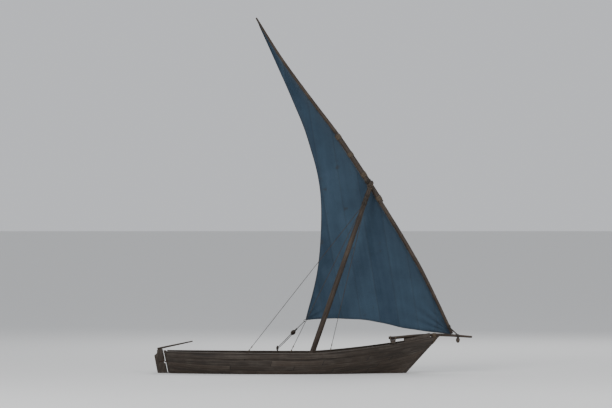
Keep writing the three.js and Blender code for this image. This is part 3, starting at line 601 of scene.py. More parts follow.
# Thwarts
# The seats from side to side, each one bare sawn plank, paler where it is worn. They rest on the risers and
# are nailed there, and the heavier mast beam holds the mast.
DECK_TIMBER = timber_material("worn_boards", "deck_timber", (0.030, 0.022, 0.016), (0.120, 0.090, 0.064),
                              (0.210, 0.180, 0.145), wear=0.8)
THWARTS = ("stern_bench", "aft_thwart", "stroke_thwart", "middle_thwart", "mast_beam", "fore_thwart")
for k, name in enumerate(THWARTS):
    timber(f"{name}_board", name, ATHWART, 0.005, 0.15 + 0.14 * k, DECK_TIMBER)

# Bottom boards and fore deck
# Loose sawn planks of the same worn timber: the bottom boards lie on the keelson, and the fore deck's planks
# are nailed under the inwales.
BOTTOM_AFT, BOTTOM_FORE, BOTTOM_THICK, BOTTOM_MARGIN = -2.25, 1.2, 0.022, 0.045
BOARD_GAP, BOARD_EDGE = 0.004, 0.003
DECK_THICK = 0.028


def board_row(name, x, half, low, high, edges, seed):
    """Planks side by side along X, cut to a half breadth that changes with x."""
    chance = np.random.default_rng(seed)
    boards = []
    for a, b in zip(edges[:-1], edges[1:]):
        y0, y1 = np.clip(a + BOARD_GAP / 2, -half, half), np.clip(b - BOARD_GAP / 2, -half, half)
        there = y1 - y0 > 0.02
        lift, tone = chance.uniform(-0.002, 0.0), chance.random()
        if there.sum() < 2:
            continue
        xs, y0, y1, z0, z1 = x[there], y0[there], y1[there], low[there], high[there] + lift
        section = ((y0, z0), (y0, z1 - BOARD_EDGE), (y0 + BOARD_EDGE, z1), (y1 - BOARD_EDGE, z1),
                   (y1, z1 - BOARD_EDGE), (y1, z0))
        boards.append(bar(np.stack([stacked(xs, y, z) for y, z in section], 1), tone))
    return join(name, boards)


x = np.linspace(BOTTOM_AFT, BOTTOM_FORE, 60)
low = np.full(60, KEEL_TOP + SEAT + KEELSON["high"] + SEAT)
u = share_at(x, low)
half = skin(u, row_at(u, low, -RIB_DEPTH), -RIB_DEPTH - BOTTOM_MARGIN)[:, 1]
belongs(board_row("bottom_planks", x, half, low, low + BOTTOM_THICK, np.linspace(-0.56, 0.56, 9), 3),
        DECK_TIMBER, "hull", "bottom_boards")
u = np.linspace(0.9, 0.955, 16)
high = skin(u, SHEER_V, -SEAT)[:, 2] - 2 * SEAT
x, half, _ = skin(u, row_at(u, high - DECK_THICK, 0.0), -0.004).T
belongs(board_row("deck_planks", x, half, high - DECK_THICK, high, np.linspace(-0.5, 0.5, 8), 4),
        DECK_TIMBER, "hull", "fore_deck")

# Nails
# Hand-forged iron nails with domed heads, rusted dark: two through each plank into every rib, and a row along
# the wales.
NAIL_RINGS = ((0.0070, -0.0020), (0.0066, 0.0012), (0.0030, 0.0026))   # radius, height


def rust_look(place):
    """Dark scale with brown rust blooms and small pits."""
    bloom = noise(place, 38.0, 6.0, Roughness=0.7)
    pits = field(place.tree, "ShaderNodeTexVoronoi", {"Vector": place, "Scale": 260.0})
    color = mix(ramp(bloom, 0.42, 0.62), (0.018, 0.016, 0.015, 1), (0.075, 0.030, 0.014, 1))
    return color, ramp(bloom, 0.35, 0.65, 0.5, 0.85), pits + bloom


RUST = new_group("rust", ("Vector",), ("Color", "Roughness", "Height"), rust_look)
IRON = new_material("rusty_iron", "iron", RUST, {"Vector": "Object"}, {}, 0.0008, Metallic=0.55)


def around(turn, a, b):
    """Points on an ellipse with half axes a and b."""
    return np.cos(turn)[..., None] * a + np.sin(turn)[..., None] * b


def nail_heads(name, places, normals, body="hull"):
    """Domed heads of eight sides, one at each place, facing along its normal."""
    normals = unit(normals)[:, None]
    side = unit(np.cross(normals, (1.0, 0.0, 0.0)))
    head = around(np.arange(8) * math.pi / 4, side, np.cross(side, normals))
    points = [places[:, None] + normals * height + radius * head for radius, height in NAIL_RINGS]
    faces = ring_faces(len(NAIL_RINGS), 8)[None] + 8 * len(NAIL_RINGS) * np.arange(len(places))[:, None, None]
    return belongs(mesh_piece(name, np.stack(points, 1), faces.reshape(-1, 4)), IRON, body)


NAIL_SHARES = np.array([0.2, 0.8])             # of a strake
END_NAILS = (0.02, 0.91, 0.95, 0.985)          # rows beyond the ribs, as shares of the length
NAIL_STAGGER = 0.0012
nail_v = (PLANK_SEAMS[:-1, None] + np.diff(PLANK_SEAMS)[:, None] * NAIL_SHARES).ravel()
nail_out = np.where(nail_v > SHEER_V - 0.012, PLANK + WALE, PLANK)
nail_v = np.where(nail_out > PLANK, nail_v.clip(SHEER_V + 0.02, 0.985), nail_v)
u, v = np.meshgrid(np.append(rib_u, END_NAILS), nail_v, indexing="ij")
u = u + NAIL_STAGGER * np.where(np.arange(len(nail_v)) % 2, 1, -1)
place, beyond = skin(u, v, nail_out), skin(u, v, nail_out + 0.01)
for word, side in SIDES:
    nail_heads(f"plank_nails_{word}", (place * (1, side, 1)).reshape(-1, 3),
               ((beyond - place) * (1, side, 1)).reshape(-1, 3))

# Mast, yard, bowsprit and tiller
# Barked poles, oiled dark, not quite straight: the fibres run along them, with knots and drying cracks.
# The mast stands in the step block, the yard is two poles lashed together, the bowsprit lies over the stem.
SPAR_WOOD = timber_material("oiled_pole", "spar_timber", (0.016, 0.011, 0.008), (0.078, 0.052, 0.034),
                            (0.150, 0.120, 0.090), wear=0.5, relief=0.0022)
Y_WAY, UP = np.array([0, 1.0, 0]), np.array([0, 0, 1.0])
MAST_FOOT, MAST_HEAD = np.array([0.0703, 0, -0.162]), np.array([2.005, 0, 5.379])
MAST_R_FOOT, MAST_R_HEAD = 0.080, 0.062
YARD_SIDE = 0.172
TACK, PEAK = np.array([4.261, YARD_SIDE, 1.099]), np.array([-1.253, YARD_SIDE, 9.987])
YARD_BOW = np.array([(0, 0), (0.115, 0.135), (0.22, 0.220), (0.40, 0.240), (0.59, 0.190), (0.75, 0.072),
                     (0.88, 0), (1, 0)])
YARD_R = np.array([(0, 0.040, 0.040), (0.3, 0.058, 0.048), (0.6, 0.050, 0.054), (0.8, 0.046, 0.042),
                   (1, 0.040, 0.024)])
LAP_FROM, LAP_TO, LAP_CLEAR, LAP_TURN = 0.4, 0.62, 0.85, math.pi / 8
yard_up = unit(PEAK - TACK)
yard_out = np.array([yard_up[2], 0, -yard_up[0]])
mast_along = unit(MAST_HEAD - MAST_FOOT)
mast_fore = np.array([mast_along[2], 0, -mast_along[0]])


def yard_at(t):
    """Centreline of the lower pole, and of the yard as a whole: the chord, bowed forward."""
    t = np.asarray(t, float)[..., None]
    return TACK + (PEAK - TACK) * t + yard_out * read_rows(YARD_BOW, 1, t)


def yard_radius(t, pole):
    """Radius of the lower (1) or the upper pole (2)."""
    return read_rows(YARD_R, pole, np.asarray(t, float))


def lap_share(t):
    """1 where the poles lie side by side, 0 where the upper one has come back to the centreline."""
    return np.clip((LAP_CLEAR - np.asarray(t, float)) / (LAP_CLEAR - LAP_TO), 0, 1)


def lap_apart(t):
    """Distance between the two poles' centrelines."""
    return lap_share(t) * (yard_radius(t, 1) + yard_radius(t, 2) + 2 * SEAT)


def upper_at(t):
    """Centreline of the upper pole, beside the lower one and a little forward of it."""
    t = np.asarray(t, float)
    along = unit(yard_at(t + 0.005) - yard_at(t - 0.005))
    out = stacked(along[..., 2], 0, -along[..., 0])
    return yard_at(t) + lap_apart(t)[..., None] * (out * math.sin(LAP_TURN) + Y_WAY * math.cos(LAP_TURN))


def run_along(path):
    """Distance along a path to each of its points."""
    return np.concatenate([[0], np.cumsum(np.linalg.norm(np.diff(path, axis=0), axis=1))])


def walk(path, at):
    """Points at distances along a path."""
    run = run_along(path)
    return stacked(*(np.interp(at, run, column) for column in path.T))


def tube_mesh(path, radius, sides, strands=0, pitch=0.06):
    """A round bar along a path, laid rope if it has strands: points, faces, grain along it and groove."""
    path = np.asarray(path, float)
    ahead = unit(np.gradient(path, axis=0))
    side = np.empty_like(path)
    guess = np.cross(ahead[0], Y_WAY if abs(ahead[0][1]) < 0.9 else UP)
    for k in range(len(path)):
        guess = unit(guess - ahead[k] * (guess @ ahead[k]))
        side[k] = guess
    run = run_along(path)[:, None]
    turn = math.tau * np.arange(sides) / sides
    groove = np.ones((len(path), sides))
    if strands:
        groove = np.abs(np.cos(strands / 2 * (turn - math.tau * run / pitch)))
        swell = 0.80 + 0.20 * groove
    else:
        swell = 1 + 0.018 * np.sin(run * 7.0 + turn) * np.sin(run * 2.3 + 2 * turn)
    radius = np.broadcast_to(np.asarray(radius, float), (len(path),))[:, None] * swell
    points = path[:, None] + radius[..., None] * around(turn, side[:, None], np.cross(ahead, side)[:, None])
    grain = stacked(run, radius * np.cos(turn), radius * np.sin(turn))
    return points.reshape(-1, 3), ring_faces(len(path), sides), grain.reshape(-1, 3), groove.ravel()


def tubes(name, paths, radius, sides, **laid):
    """One piece made of a bar along each path."""
    return join(name, [tube_mesh(path, radius, sides, **laid) for path in paths], "groove", smooth=True)


def pole(name, path, radius, body, *nodes):
    """A bar whose two ends are rounded off over half their radius."""
    radius = np.asarray(radius, float)
    for _ in range(2):
        inward = unit(path[1] - path[0]) * radius[0] * np.array([0.0, 0.06, 0.2, 0.45])[:, None]
        path = np.concatenate([path[0] + inward, path[1:]])[::-1]
        radius = np.concatenate([radius[0] * np.array([0.55, 0.80, 0.93, 0.99]), radius[1:]])[::-1]
    return belongs(tubes(name, [path], radius, 28), SPAR_WOOD, body, *nodes)


def mast_share(z):
    """Share of the mast's height at a height."""
    return (np.asarray(z, float) - MAST_FOOT[2]) / (MAST_HEAD[2] - MAST_FOOT[2])


def mast_at(z):
    """Centreline of the mast at a height."""
    return MAST_FOOT + (MAST_HEAD - MAST_FOOT) * mast_share(z)[..., None]


def mast_radius(z):
    """Radius of the mast at a height."""
    return MAST_R_FOOT + (MAST_R_HEAD - MAST_R_FOOT) * mast_share(z)


z = np.linspace(MAST_FOOT[2], MAST_HEAD[2], 110)
pole("mast_pole", mast_at(z), mast_radius(z), "hull", "mast")
t = np.linspace(0, LAP_TO, 110)
pole("lower_pole", yard_at(t), yard_radius(t, 1), "rig", "yard_lower")
t = np.linspace(LAP_FROM, 1, 110)
pole("upper_pole", upper_at(t), yard_radius(t, 2), "rig", "yard_upper")
STEM_HEAD_Z, STEM_DEPTH = 1.029, 0.230
BEAM_X, BEAM_WIDE, BEAM_TOP = 2.593, 0.110, 0.947
BAR_REST = 0.0428               # the bowsprit's centreline is this far above what it lies on
BOWSPRIT_X, BOWSPRIT_Z, BOWSPRIT_R = np.array([
    (2.470, BEAM_TOP + BAR_REST, 0.040), (2.648, BEAM_TOP + BAR_REST, 0.042), (3.200, 1.045, 0.042),
    (stem_x(STEM_HEAD_Z) - STEM_DEPTH, STEM_HEAD_Z + BAR_REST, 0.042),
    (stem_x(STEM_HEAD_Z), STEM_HEAD_Z + BAR_REST, 0.042), (4.350, 1.050, 0.038), (4.820, 1.013, 0.030)]).T


def bowsprit_at(x):
    """Centreline of the bowsprit at a place along the boat."""
    x = np.asarray(x, float)
    near = x[..., None] + np.linspace(-0.05, 0.05, 9)
    return stacked(x, 0, np.interp(near, BOWSPRIT_X, BOWSPRIT_Z).mean(-1))


x = np.linspace(BOWSPRIT_X[0], BOWSPRIT_X[-1], 70)
pole("bowsprit_pole", bowsprit_at(x), np.interp(x, BOWSPRIT_X, BOWSPRIT_R), "hull", "bowsprit")
HINGE_X = stern_x(0) - 0.080 - 0.024
HINGE_SIN, _, HINGE_COS = unit([STERN_RAKE, 0, 1.0])
TILLER_UP = 0.7274


def rudder_point(fore, y, up):
    """A point given along the boat, to port and up the hinge line, from where that meets the water."""
    return stacked(HINGE_X + HINGE_COS * fore - HINGE_SIN * up, y, HINGE_SIN * fore + HINGE_COS * up)


s = np.linspace(-0.140, 0.880, 50)
pole("tiller_pole", rudder_point(s, 0, TILLER_UP),
     np.interp(s, [-0.14, 0.06, 0.5, 0.88], [0.027, 0.027, 0.022, 0.017]), "rudder", "tiller")

# Ropes of the mast and yard
# Laid coir rope of three strands. It makes the stays, the collars that hold them to the mast, the parrel
# round mast and yard, the lashings of the yard's two poles and the robands that tie the sail to the yard.
ROPE_LAYS = ((0.005, 6, 0.030), (0.0068, 8, 0.040), (0.0078, 8, 0.045), (0.0085, 9, 0.055), (1, 9, 0.060))
SAIL_GAP = 0.001
SAIL_TURN = 0.55                # radians round to port from straight behind the pole
EYELET_IN = 0.022               # the sail's eyelets are this far inside its head
WRAP_STEPS = 30
LASHING_R, BOLT_R, PARREL_R, SEIZING_R = 0.007, 0.0065, 0.006, 0.004


def fibre_look(place, groove, color):
    """Coarse twisted fibres: painted shade in the grooves between the strands, with pale loose hairs."""
    hair = noise(place, 1.0, 4.0, (60.0, 700.0, 700.0))
    # Painted shade: darker where the groove value is low, between the strands.
    shade = ramp(groove, 0.05, 0.6, 0.15, 1.0) * ramp(hair, 0.3, 0.7, 0.55, 1.35)
    return shaded(color, shade * ramp(noise(place, 6.0, 3.0), 0.35, 0.65, 0.7, 1.15)), hair


FIBRE = new_group("fibre", ("Vector", "Groove", "Color"), ("Color", "Height"), fibre_look)
ROPE, DARK_ROPE = (
    new_material(name, "rope", FIBRE, {"Vector": "grain", "Groove": "groove"}, {"Color": color}, 0.0006,
                 Roughness=0.92)
    for name, color in (("coir_rope", (0.115, 0.085, 0.055)), ("tarred_rope", (0.045, 0.036, 0.028))))


def rope(name, paths, radius, look, body, *nodes, pitch=None, ends=None):
    """One piece of three-stranded rope along each path; its radius gives its sides and the strands' pitch."""
    sides, usual = next((sides, lay) for most, sides, lay in ROPE_LAYS if radius <= most)
    piece = tubes(name, paths, radius, sides, strands=3, pitch=pitch or usual)
    return belongs(piece, look, body, *nodes, ends=ends)


def winding(turns, steps=WRAP_STEPS):
    """Angles along a rope that goes round a number of times."""
    return np.linspace(0, math.tau * turns, turns * steps)


def smooth_step(value, low, high):
    """0 below low, 1 above high, level at both."""
    share = np.clip((value - low) / (high - low), 0, 1)
    return share * share * (3 - 2 * share)


def luff_at(t):
    """The sail's edge along the yard, under the pole that carries it there."""
    t = np.asarray(t, float)
    away = lap_share(t) * yard_radius(t, 1) + (1 - lap_share(t)) * yard_radius(t, 2) + SAIL_GAP
    across = smooth_step(t, LAP_FROM + 0.1, LAP_TO + 0.06) * lap_apart(t) + away * math.sin(SAIL_TURN)
    ahead = smooth_step(t, LAP_TO - 0.045, LAP_TO + 0.005) * lap_apart(t) * math.sin(LAP_TURN)
    return yard_at(t) + yard_out * (ahead - away * math.cos(SAIL_TURN))[..., None] + Y_WAY * across[..., None]


def round_things(circles, extra=()):
    """Tight outline round circles (centre, centre, radius) and single points, walked at even steps."""
    turn = np.linspace(0, math.tau, 49)[:-1]
    points = [stacked(a + r * np.cos(turn), b + r * np.sin(turn)) for a, b, r in circles]
    points = np.concatenate(points + [np.atleast_2d(p) for p in extra])
    points = points[np.lexsort((points[:, 1], points[:, 0]))]
    order = mathutils.geometry.convex_hull_2d(points.tolist())
    order = np.roll(order, -order.index(0))
    outline = points[np.append(order, 0)]
    return walk(outline, np.linspace(0, run_along(outline)[-1], WRAP_STEPS + 1)[:-1])


def yard_section(t, gap, with_sail=False):
    """Outline round the yard at t, in its own plane: (forward of the chord line, to port)."""
    plane = stacked(yard_out, Y_WAY)
    circles = [(0, 0, float(yard_radius(t, 1)) + gap)] if t <= LAP_TO else []
    if t >= LAP_FROM:
        circles.append((*((upper_at(t) - yard_at(t)) @ plane), float(yard_radius(t, 2)) + gap))
    return round_things(circles, [(luff_at(t) - yard_at(t)) @ plane - (EYELET_IN, 0)] if with_sail else [])


def yard_wrap(t0, t1, turns, gap, with_sail=False):
    """Path that winds round the yard from t0 to t1."""
    path = []
    for k in range(turns):
        start, end = (t0 + (t1 - t0) * (k + m) / turns for m in (0, 1))
        outline = yard_section((start + end) / 2, gap, with_sail)
        path.append(yard_at(np.linspace(start, end, WRAP_STEPS, endpoint=False))
                    + outline[:, :1] * yard_out + outline[:, 1:] * Y_WAY)
    return np.concatenate(path)


LASHING_TURNS = 9
lashing_wide = LASHING_TURNS * 2 * LASHING_R / np.linalg.norm(PEAK - TACK)
for k, t in enumerate((0.408, 0.484, 0.548, 0.605)):
    turns = yard_wrap(t, t + lashing_wide, LASHING_TURNS, LASHING_R + 0.001)
    rope(f"yard_lashing_{k + 1}", [turns], LASHING_R, ROPE, "rig")
STAY_R = 0.008
COLLAR_TURNS, COLLAR_HALF = 4, 0.03            # half its height on the mast
STAYS = []
for name, foot_x, head_z in (("shroud_fore", 0.820, 4.990), ("shroud_aft", -0.300, 4.880),
                             ("halyard_fall", -1.500, 4.770)):
    foot = skin(share_at(foot_x, sheer_z(foot_x)), 1.0, 0.005) * (1, -1, 1)
    foot[2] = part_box(name)[0][2]
    head = mast_at(head_z) - Y_WAY * (mast_radius(head_z) + STAY_R + SEAT)
    STAYS.append((foot, head))
    s = np.linspace(0, 1, int(np.linalg.norm(head - foot) / 0.0065))[:, None]
    rope(f"{name}_rope", [foot + (head - foot) * s], STAY_R, DARK_ROPE, "hull", name)
    turn = winding(COLLAR_TURNS)
    z = np.linspace(head_z - COLLAR_HALF, head_z + COLLAR_HALF, len(turn))
    collar = mast_at(z) + (mast_radius(z) + LASHING_R + 0.0002)[:, None] * around(turn, mast_fore, -Y_WAY)
    rope(f"{name}_collar", [collar], LASHING_R, DARK_ROPE, "hull")

# Sail
# Heavy cotton canvas, sewn from narrow cloths that run up and down beside the leech, and patched. Its dark
# slate blue is painted shade: pale cloth as it looks from its shaded side, lighter where faded. It hangs
# from the robands along the yard, and a bolt rope is sewn round its edge.
CLEW = (0.135, 1.462)
FOOT = np.array([(4.190, 1.085), (3.017, 1.234), (1.900, 1.462), (0.781, 1.512), CLEW])
LEECH = np.array([CLEW, (0.500, 3.050), (0.560, 5.000), (0.222, 6.500), (-0.260, 7.741), (-1.195, 9.830)])
CLEW_SHARE = 0.42
CLEW_OUT, BELLY = 0.430, 0.400
SAIL_THICK = 0.0016
CLOTH_WIDE = 0.52
ROBANDS = 27
leech_way = unit([LEECH[-1, 0] - CLEW[0], 0, LEECH[-1, 1] - CLEW[1]])
leech_away = np.array([leech_way[2], 0, -leech_way[0]])


def even_curve(points, share):
    """Points at even shares of the length of a smooth curve through a few points."""
    last = len(points) - 1
    at = np.linspace(0, last, 1600)
    i = np.minimum(at.astype(int), last - 1)
    s = (at - i)[:, None]
    p0, p1, p2, p3 = (points[np.clip(i + k, 0, last)] for k in (-1, 0, 1, 2))
    v0, v1 = (p2 - p0) / 2, (p3 - p1) / 2
    line = (2 * p1 - 2 * p2 + v0 + v1) * s**3 + (-3 * p1 + 3 * p2 - 2 * v0 - v1) * s**2 + v0 * s + p1
    return walk(line, np.asarray(share) * run_along(line)[-1])


def sail_at(t, w):
    """The cloth, from the yard (w 0) to foot and leech (w 1), bellied to port by the wind."""
    t, w = np.broadcast_arrays(np.asarray(t, float), np.asarray(w, float))
    on_foot, on_leech = t / CLEW_SHARE, (t - CLEW_SHARE) / (1 - CLEW_SHARE)
    edge = np.where((t < CLEW_SHARE)[..., None], even_curve(FOOT, np.clip(on_foot, 0, 1)),
                    even_curve(LEECH, np.clip(on_leech, 0, 1)))
    luff = luff_at(t)
    swell = np.sin(math.pi / 2 * np.where(t < CLEW_SHARE, on_foot, 1 - on_leech))
    out = CLEW_OUT * swell * w**2 + BELLY * swell * np.sin(math.pi * w**0.8)
    return stacked(luff[..., 0] + (edge[..., 0] - luff[..., 0]) * w, luff[..., 1] + out,
                   luff[..., 2] + (edge[..., 1] - luff[..., 2]) * w)


def across_sail(t):
    """Straight distance from the yard to the outer edge."""
    return np.linalg.norm(sail_at(t, 1 + 0 * t) - sail_at(t, 0 * t), axis=-1)


def cloth_at(t, w):
    """The cloth with its small shapes: scallops between the robands, creases from clew and tack, ripples."""
    t, w = np.broadcast_arrays(np.asarray(t, float), np.asarray(w, float))
    wide = across_sail(t) + 0.05
    from_yard, from_edge = w * wide, (1 - w) * wide
    scallop = 0.004 * np.sin(math.pi * ROBANDS * t) ** 2 / wide * np.exp(-from_yard / 0.10) * (1 - w)
    hollow = 0.008 * np.sin(math.pi * 13 * t + 0.6) ** 2 / wide * np.exp(-from_edge / 0.12) * w
    place = sail_at(t, w + scallop - hollow)
    x, z = place[..., 0], place[..., 2]
    reach = np.hypot(x - CLEW[0], z - CLEW[1])
    spokes = np.sin(15 * np.arctan2(z - CLEW[1], x - CLEW[0]) + 1.5 * np.sin(3 * reach))
    relief = 0.016 * spokes * np.clip(reach / 0.25, 0, 1) * np.exp(-(reach / 0.75) ** 2)
    reach = np.hypot(x - TACK[0], z - TACK[2])
    spokes = np.sin(24 * np.arctan2(z - TACK[2], TACK[0] - x))
    relief += 0.014 * spokes * np.clip(reach / 0.3, 0, 1) * np.exp(-((reach - 0.5) / 0.9) ** 2)
    pull = np.sin(math.tau * ROBANDS / 3 * t) * np.exp(-from_yard / 0.45)
    relief += 0.010 * pull * np.clip(from_yard / 0.08, 0, 1)
    relief += 0.008 * np.sin(9 * z + 5 * x) * np.sin(2.3 * z - 3.1 * x)
    flutter = np.sin(21 * t + 1.0) * np.exp(-from_edge / 0.22)
    relief += 0.020 * flutter * np.clip((t - CLEW_SHARE) / 0.08, 0, 1)
    place[..., 1] += relief * np.clip(np.minimum(t, 1 - t) / 0.05, 0, 1)
    return place


def canvas_look(place, color, pale, layers):
    """Canvas in the plane (along the leech, away from it): weave, seams with two stitched rows, fading,
    painted shade.
    """
    apart = node(place.tree, "ShaderNodeSeparateXYZ", {"Vector": place}).outputs
    cloth = Field(apart["Y"]).math("DIVIDE", CLOTH_WIDE)
    number = cloth.math("FLOOR")
    inside = (cloth.math("FRACT") - 0.5).math("ABSOLUTE")
    rows = ramp(inside, 0.4690, 0.4705) * (1.0 - ramp(inside, 0.4720, 0.4735)) + ramp(inside, 0.4955, 0.4970)
    stitch = rows.math("MINIMUM", 1.0) * ramp((Field(apart["X"]) * 70.0).math("FRACT"), 0.55, 0.65)
    # Painted shade and highlight at the weave's scale: each thread lighter, darker between the threads.
    threads = vector(place, (420.0, 420.0, 420.0), "MULTIPLY")
    weave = field(place.tree, "ShaderNodeTexVoronoi", {"Vector": threads, "Scale": 1.0, "Randomness": 0.35})
    tone = field(place.tree, "ShaderNodeTexWhiteNoise", {"W": number}, noise_dimensions="1D")
    streak = noise(vector(place, offset(number, Z=7.3)), 1.0, 5.0, (0.5, 7.0, 1.0), Roughness=0.6)
    cloud = noise(place, 0.9, 6.0, Roughness=0.65)
    fade = ramp(cloud, 0.32, 0.68) * 0.55 + ramp(streak, 0.35, 0.7) * 0.25 + tone * 0.30
    # Painted shade: each layer of cloth, with one more at every seam's overlap, makes the colour darker
    # below.
    layers = layers + ramp(inside, 0.462, 0.466)
    shade = ramp(layers, 0.0, 3.0, 1.0, 0.62) * ramp(weave, 0.1, 0.7, 1.12, 0.82)
    color = mix(stitch * 0.35, shaded(mix(fade, color, pale), shade), (0.12, 0.13, 0.13, 1))
    color = mix(ramp(noise(place, 4.0, 3.0), 0.66, 0.74, 0.0, 0.55), color, (0.030, 0.030, 0.028, 1))
    height = layers * 0.9 + weave * -0.35 + noise(place, 9.0, 4.0, Distortion=0.6) * 2.2 + stitch * -0.5
    return color, height, ramp(cloud, 0.3, 0.7, 0.82, 0.95)


CLOTH = new_group("canvas", ("Vector", "Color", "Pale", "Layers"), ("Color", "Height", "Roughness"),
                  canvas_look)
# Painted shade: the slate blue Color and Pale stand for pale canvas seen from its shaded side; Pale is where
# it is faded.
CANVAS = new_material("slate_canvas", "sailcloth", CLOTH, {"Vector": "grain", "Layers": "layers"},
                      dict(Color=(0.018, 0.036, 0.060), Pale=(0.044, 0.076, 0.112)), 0.0016,
                      **{"Specular IOR Level": 0.25, "Sheen Weight": 0.15})


def soft_step(distance, edge):
    """1 inside an edge, 0 outside it, over 6 mm."""
    return np.clip((edge - distance) / 0.006 + 0.5, 0, 1)


t, w = np.meshgrid(np.linspace(0, 1, 300), np.linspace(0, 1, 96), indexing="ij")
face, plain, wide = cloth_at(t, w), sail_at(t, w), across_sail(t)
# Thicknesses of cloth at the hems and corner patches, which the material darkens as painted shade.
layers = soft_step((1 - w) * wide, 0.06) + soft_step(w * wide, 0.08)
for corner, steps in ((sail_at(CLEW_SHARE, 1.0), (0.22, 0.42)), (sail_at(0.0, 0.5), (0.25, 0.5)),
                      (sail_at(1.0, 0.5), (0.3, 0.6))):
    layers = layers + sum(soft_step(np.linalg.norm(plain - corner, axis=-1), step) for step in steps)
from_clew = plain - (CLEW[0], 0, CLEW[1])
grain = stacked(from_clew @ leech_way, from_clew @ leech_away, 0)
normal = unit(np.cross(np.gradient(face, axis=0), np.gradient(face, axis=1)))
normal *= np.where(normal[..., 1:2] < 0, -1.0, 1.0) * SAIL_THICK / 2
rows_t, rows_w = t.shape
size = rows_t * rows_w
index = np.arange(size).reshape(rows_t, rows_w)
faces = stacked(index[:-1, :-1], index[1:, :-1], index[1:, 1:], index[:-1, 1:]).reshape(-1, 4)
edge = np.concatenate([index[0], index[1:, -1], index[-1, -2::-1], index[-2:0:-1, 0]])
rim = stacked(edge, np.roll(edge, -1), np.roll(edge, -1) + size, edge + size)
sail_cloth = belongs(mesh_piece("sail_cloth", [face + normal, face - normal],
                                np.concatenate([faces, faces[:, ::-1] + size, rim[:, ::-1]]), [grain, grain],
                                {"layers": [layers, layers]}), CANVAS, "rig", "sail")
bolt_rope = rope("bolt_rope", [cloth_at(np.linspace(0.004, 0.996, 1500), 1.0)], BOLT_R, DARK_ROPE, "rig")
robands = rope("robands", [yard_wrap(k / ROBANDS, k / ROBANDS + 0.0014, 2, 0.0045, with_sail=True)
                           for k in range(1, ROBANDS)], SEIZING_R, ROPE, "rig")

# Parrel and halyard
# Turned wooden beads on a rope let the parrel slide and turn on the mast; more turns of rope go round mast
# and yard. The halyard comes from the yard, over the masthead and down to its fall on the starboard side.
CROSS_T = 0.452                 # share of the yard's length where it crosses the mast
BEADS, BEAD_R = 13, 0.0215
HALYARD_R = 0.009
HALYARD_T = 0.470               # where the halyard is made fast to the yard
cross_at = mast_at(float(yard_at(CROSS_T)[2]))
cross_r = float(mast_radius(cross_at[2]))
bead_ring = cross_r + BEAD_R + 0.004
latitude, longitude = np.linspace(0.12, math.pi - 0.12, 9)[:, None], math.tau * np.arange(14) / 14
beads = []
for turn in math.tau * np.arange(BEADS) / BEADS:
    out = mast_fore * math.cos(turn) + Y_WAY * math.sin(turn)
    along = Y_WAY * math.cos(turn) - mast_fore * math.sin(turn)
    ball = around(latitude, along, around(longitude, out, mast_along))
    beads.append(bar(cross_at + out * bead_ring + BEAD_R * ball, 0))
belongs(join("parrel_beads", beads, smooth=True), SPAR_WOOD, "rig", "parrel")
ring = math.tau * np.arange(120) / 120
TRUSS_GAP, TRUSS_PITCH = 0.008, 0.0125
yard_here = ((yard_at(CROSS_T) - cross_at) @ mast_fore, YARD_SIDE, float(yard_radius(CROSS_T, 1)) + TRUSS_GAP)
truss = np.tile(round_things([(0, 0, cross_r + TRUSS_GAP), yard_here]), (3, 1))
rise = np.arange(len(truss))[:, None] / WRAP_STEPS * TRUSS_PITCH
rope("parrel_rope", [cross_at + bead_ring * around(ring, mast_fore, Y_WAY)]
     + [cross_at + mast_fore * truss[:, :1] + Y_WAY * truss[:, 1:] + mast_along * (start + rise)
        for start in (-0.052, 0.030)], PARREL_R, ROPE, "rig")


def smooth_path(corners, step=0.008):
    """Points close together on a line whose corners have been cut off five times."""
    line = np.asarray(corners, float)
    for _ in range(5):
        a, b = line[:-1], line[1:]
        cut = np.stack([a * 0.75 + b * 0.25, a * 0.25 + b * 0.75], 1).reshape(-1, 3)
        line = np.concatenate([line[:1], cut, line[-1:]])
    length = run_along(line)[-1]
    return walk(line, np.linspace(0, length, int(length / step) + 2))


TRUCK_UP, TRUCK_R = np.array([(-0.004, 0.031), (0.004, 0.031), (0.012, 0.030), (0.020, 0.027), (0.027, 0.021),
                              (0.031, 0.014)]).T
pole("masthead_truck", MAST_HEAD + mast_along * TRUCK_UP[:, None], TRUCK_R, "hull")
top = MAST_HEAD + mast_along * (HALYARD_R * 0.8)
tie_end = yard_at(HALYARD_T) + yard_out * (float(yard_radius(HALYARD_T, 1)) + 0.010)
tie = [top + Y_WAY * 0.013, top + Y_WAY * 0.075, top + Y_WAY * 0.11 - mast_along * 0.03,
       tie_end + yard_up * 0.05, tie_end]
rope("halyard_tie", [smooth_path(tie)], HALYARD_R, DARK_ROPE, "rig")
rope("halyard_knot", [yard_wrap(0.464, 0.4715, 5, HALYARD_R + 0.001)], HALYARD_R, DARK_ROPE, "rig")
lead = [top - Y_WAY * 0.013, top - Y_WAY * 0.060, top - Y_WAY * 0.078 - mast_along * 0.02]
lead += [mast_at(z) - Y_WAY * (float(mast_radius(z)) + HALYARD_R + 0.014) for z in (5.25, 5.1, 4.99, 4.88)]
rope("halyard_lead", [smooth_path(lead + [STAYS[-1][1]])], HALYARD_R, DARK_ROPE, "hull")

# Sheet and tack
# Coir tackles that cross from the boat to the rig: the sheet runs from the clew through a wooden block to the
# port rail, and the tack rope holds the yard's foot to the bowsprit, with a block lashed under the pole.
SHEET_RAIL_X, SHEET_R = -0.66, 0.010           # the pin's place on the rail, the rope's radius
X_WAY = np.array([1.0, 0, 0])


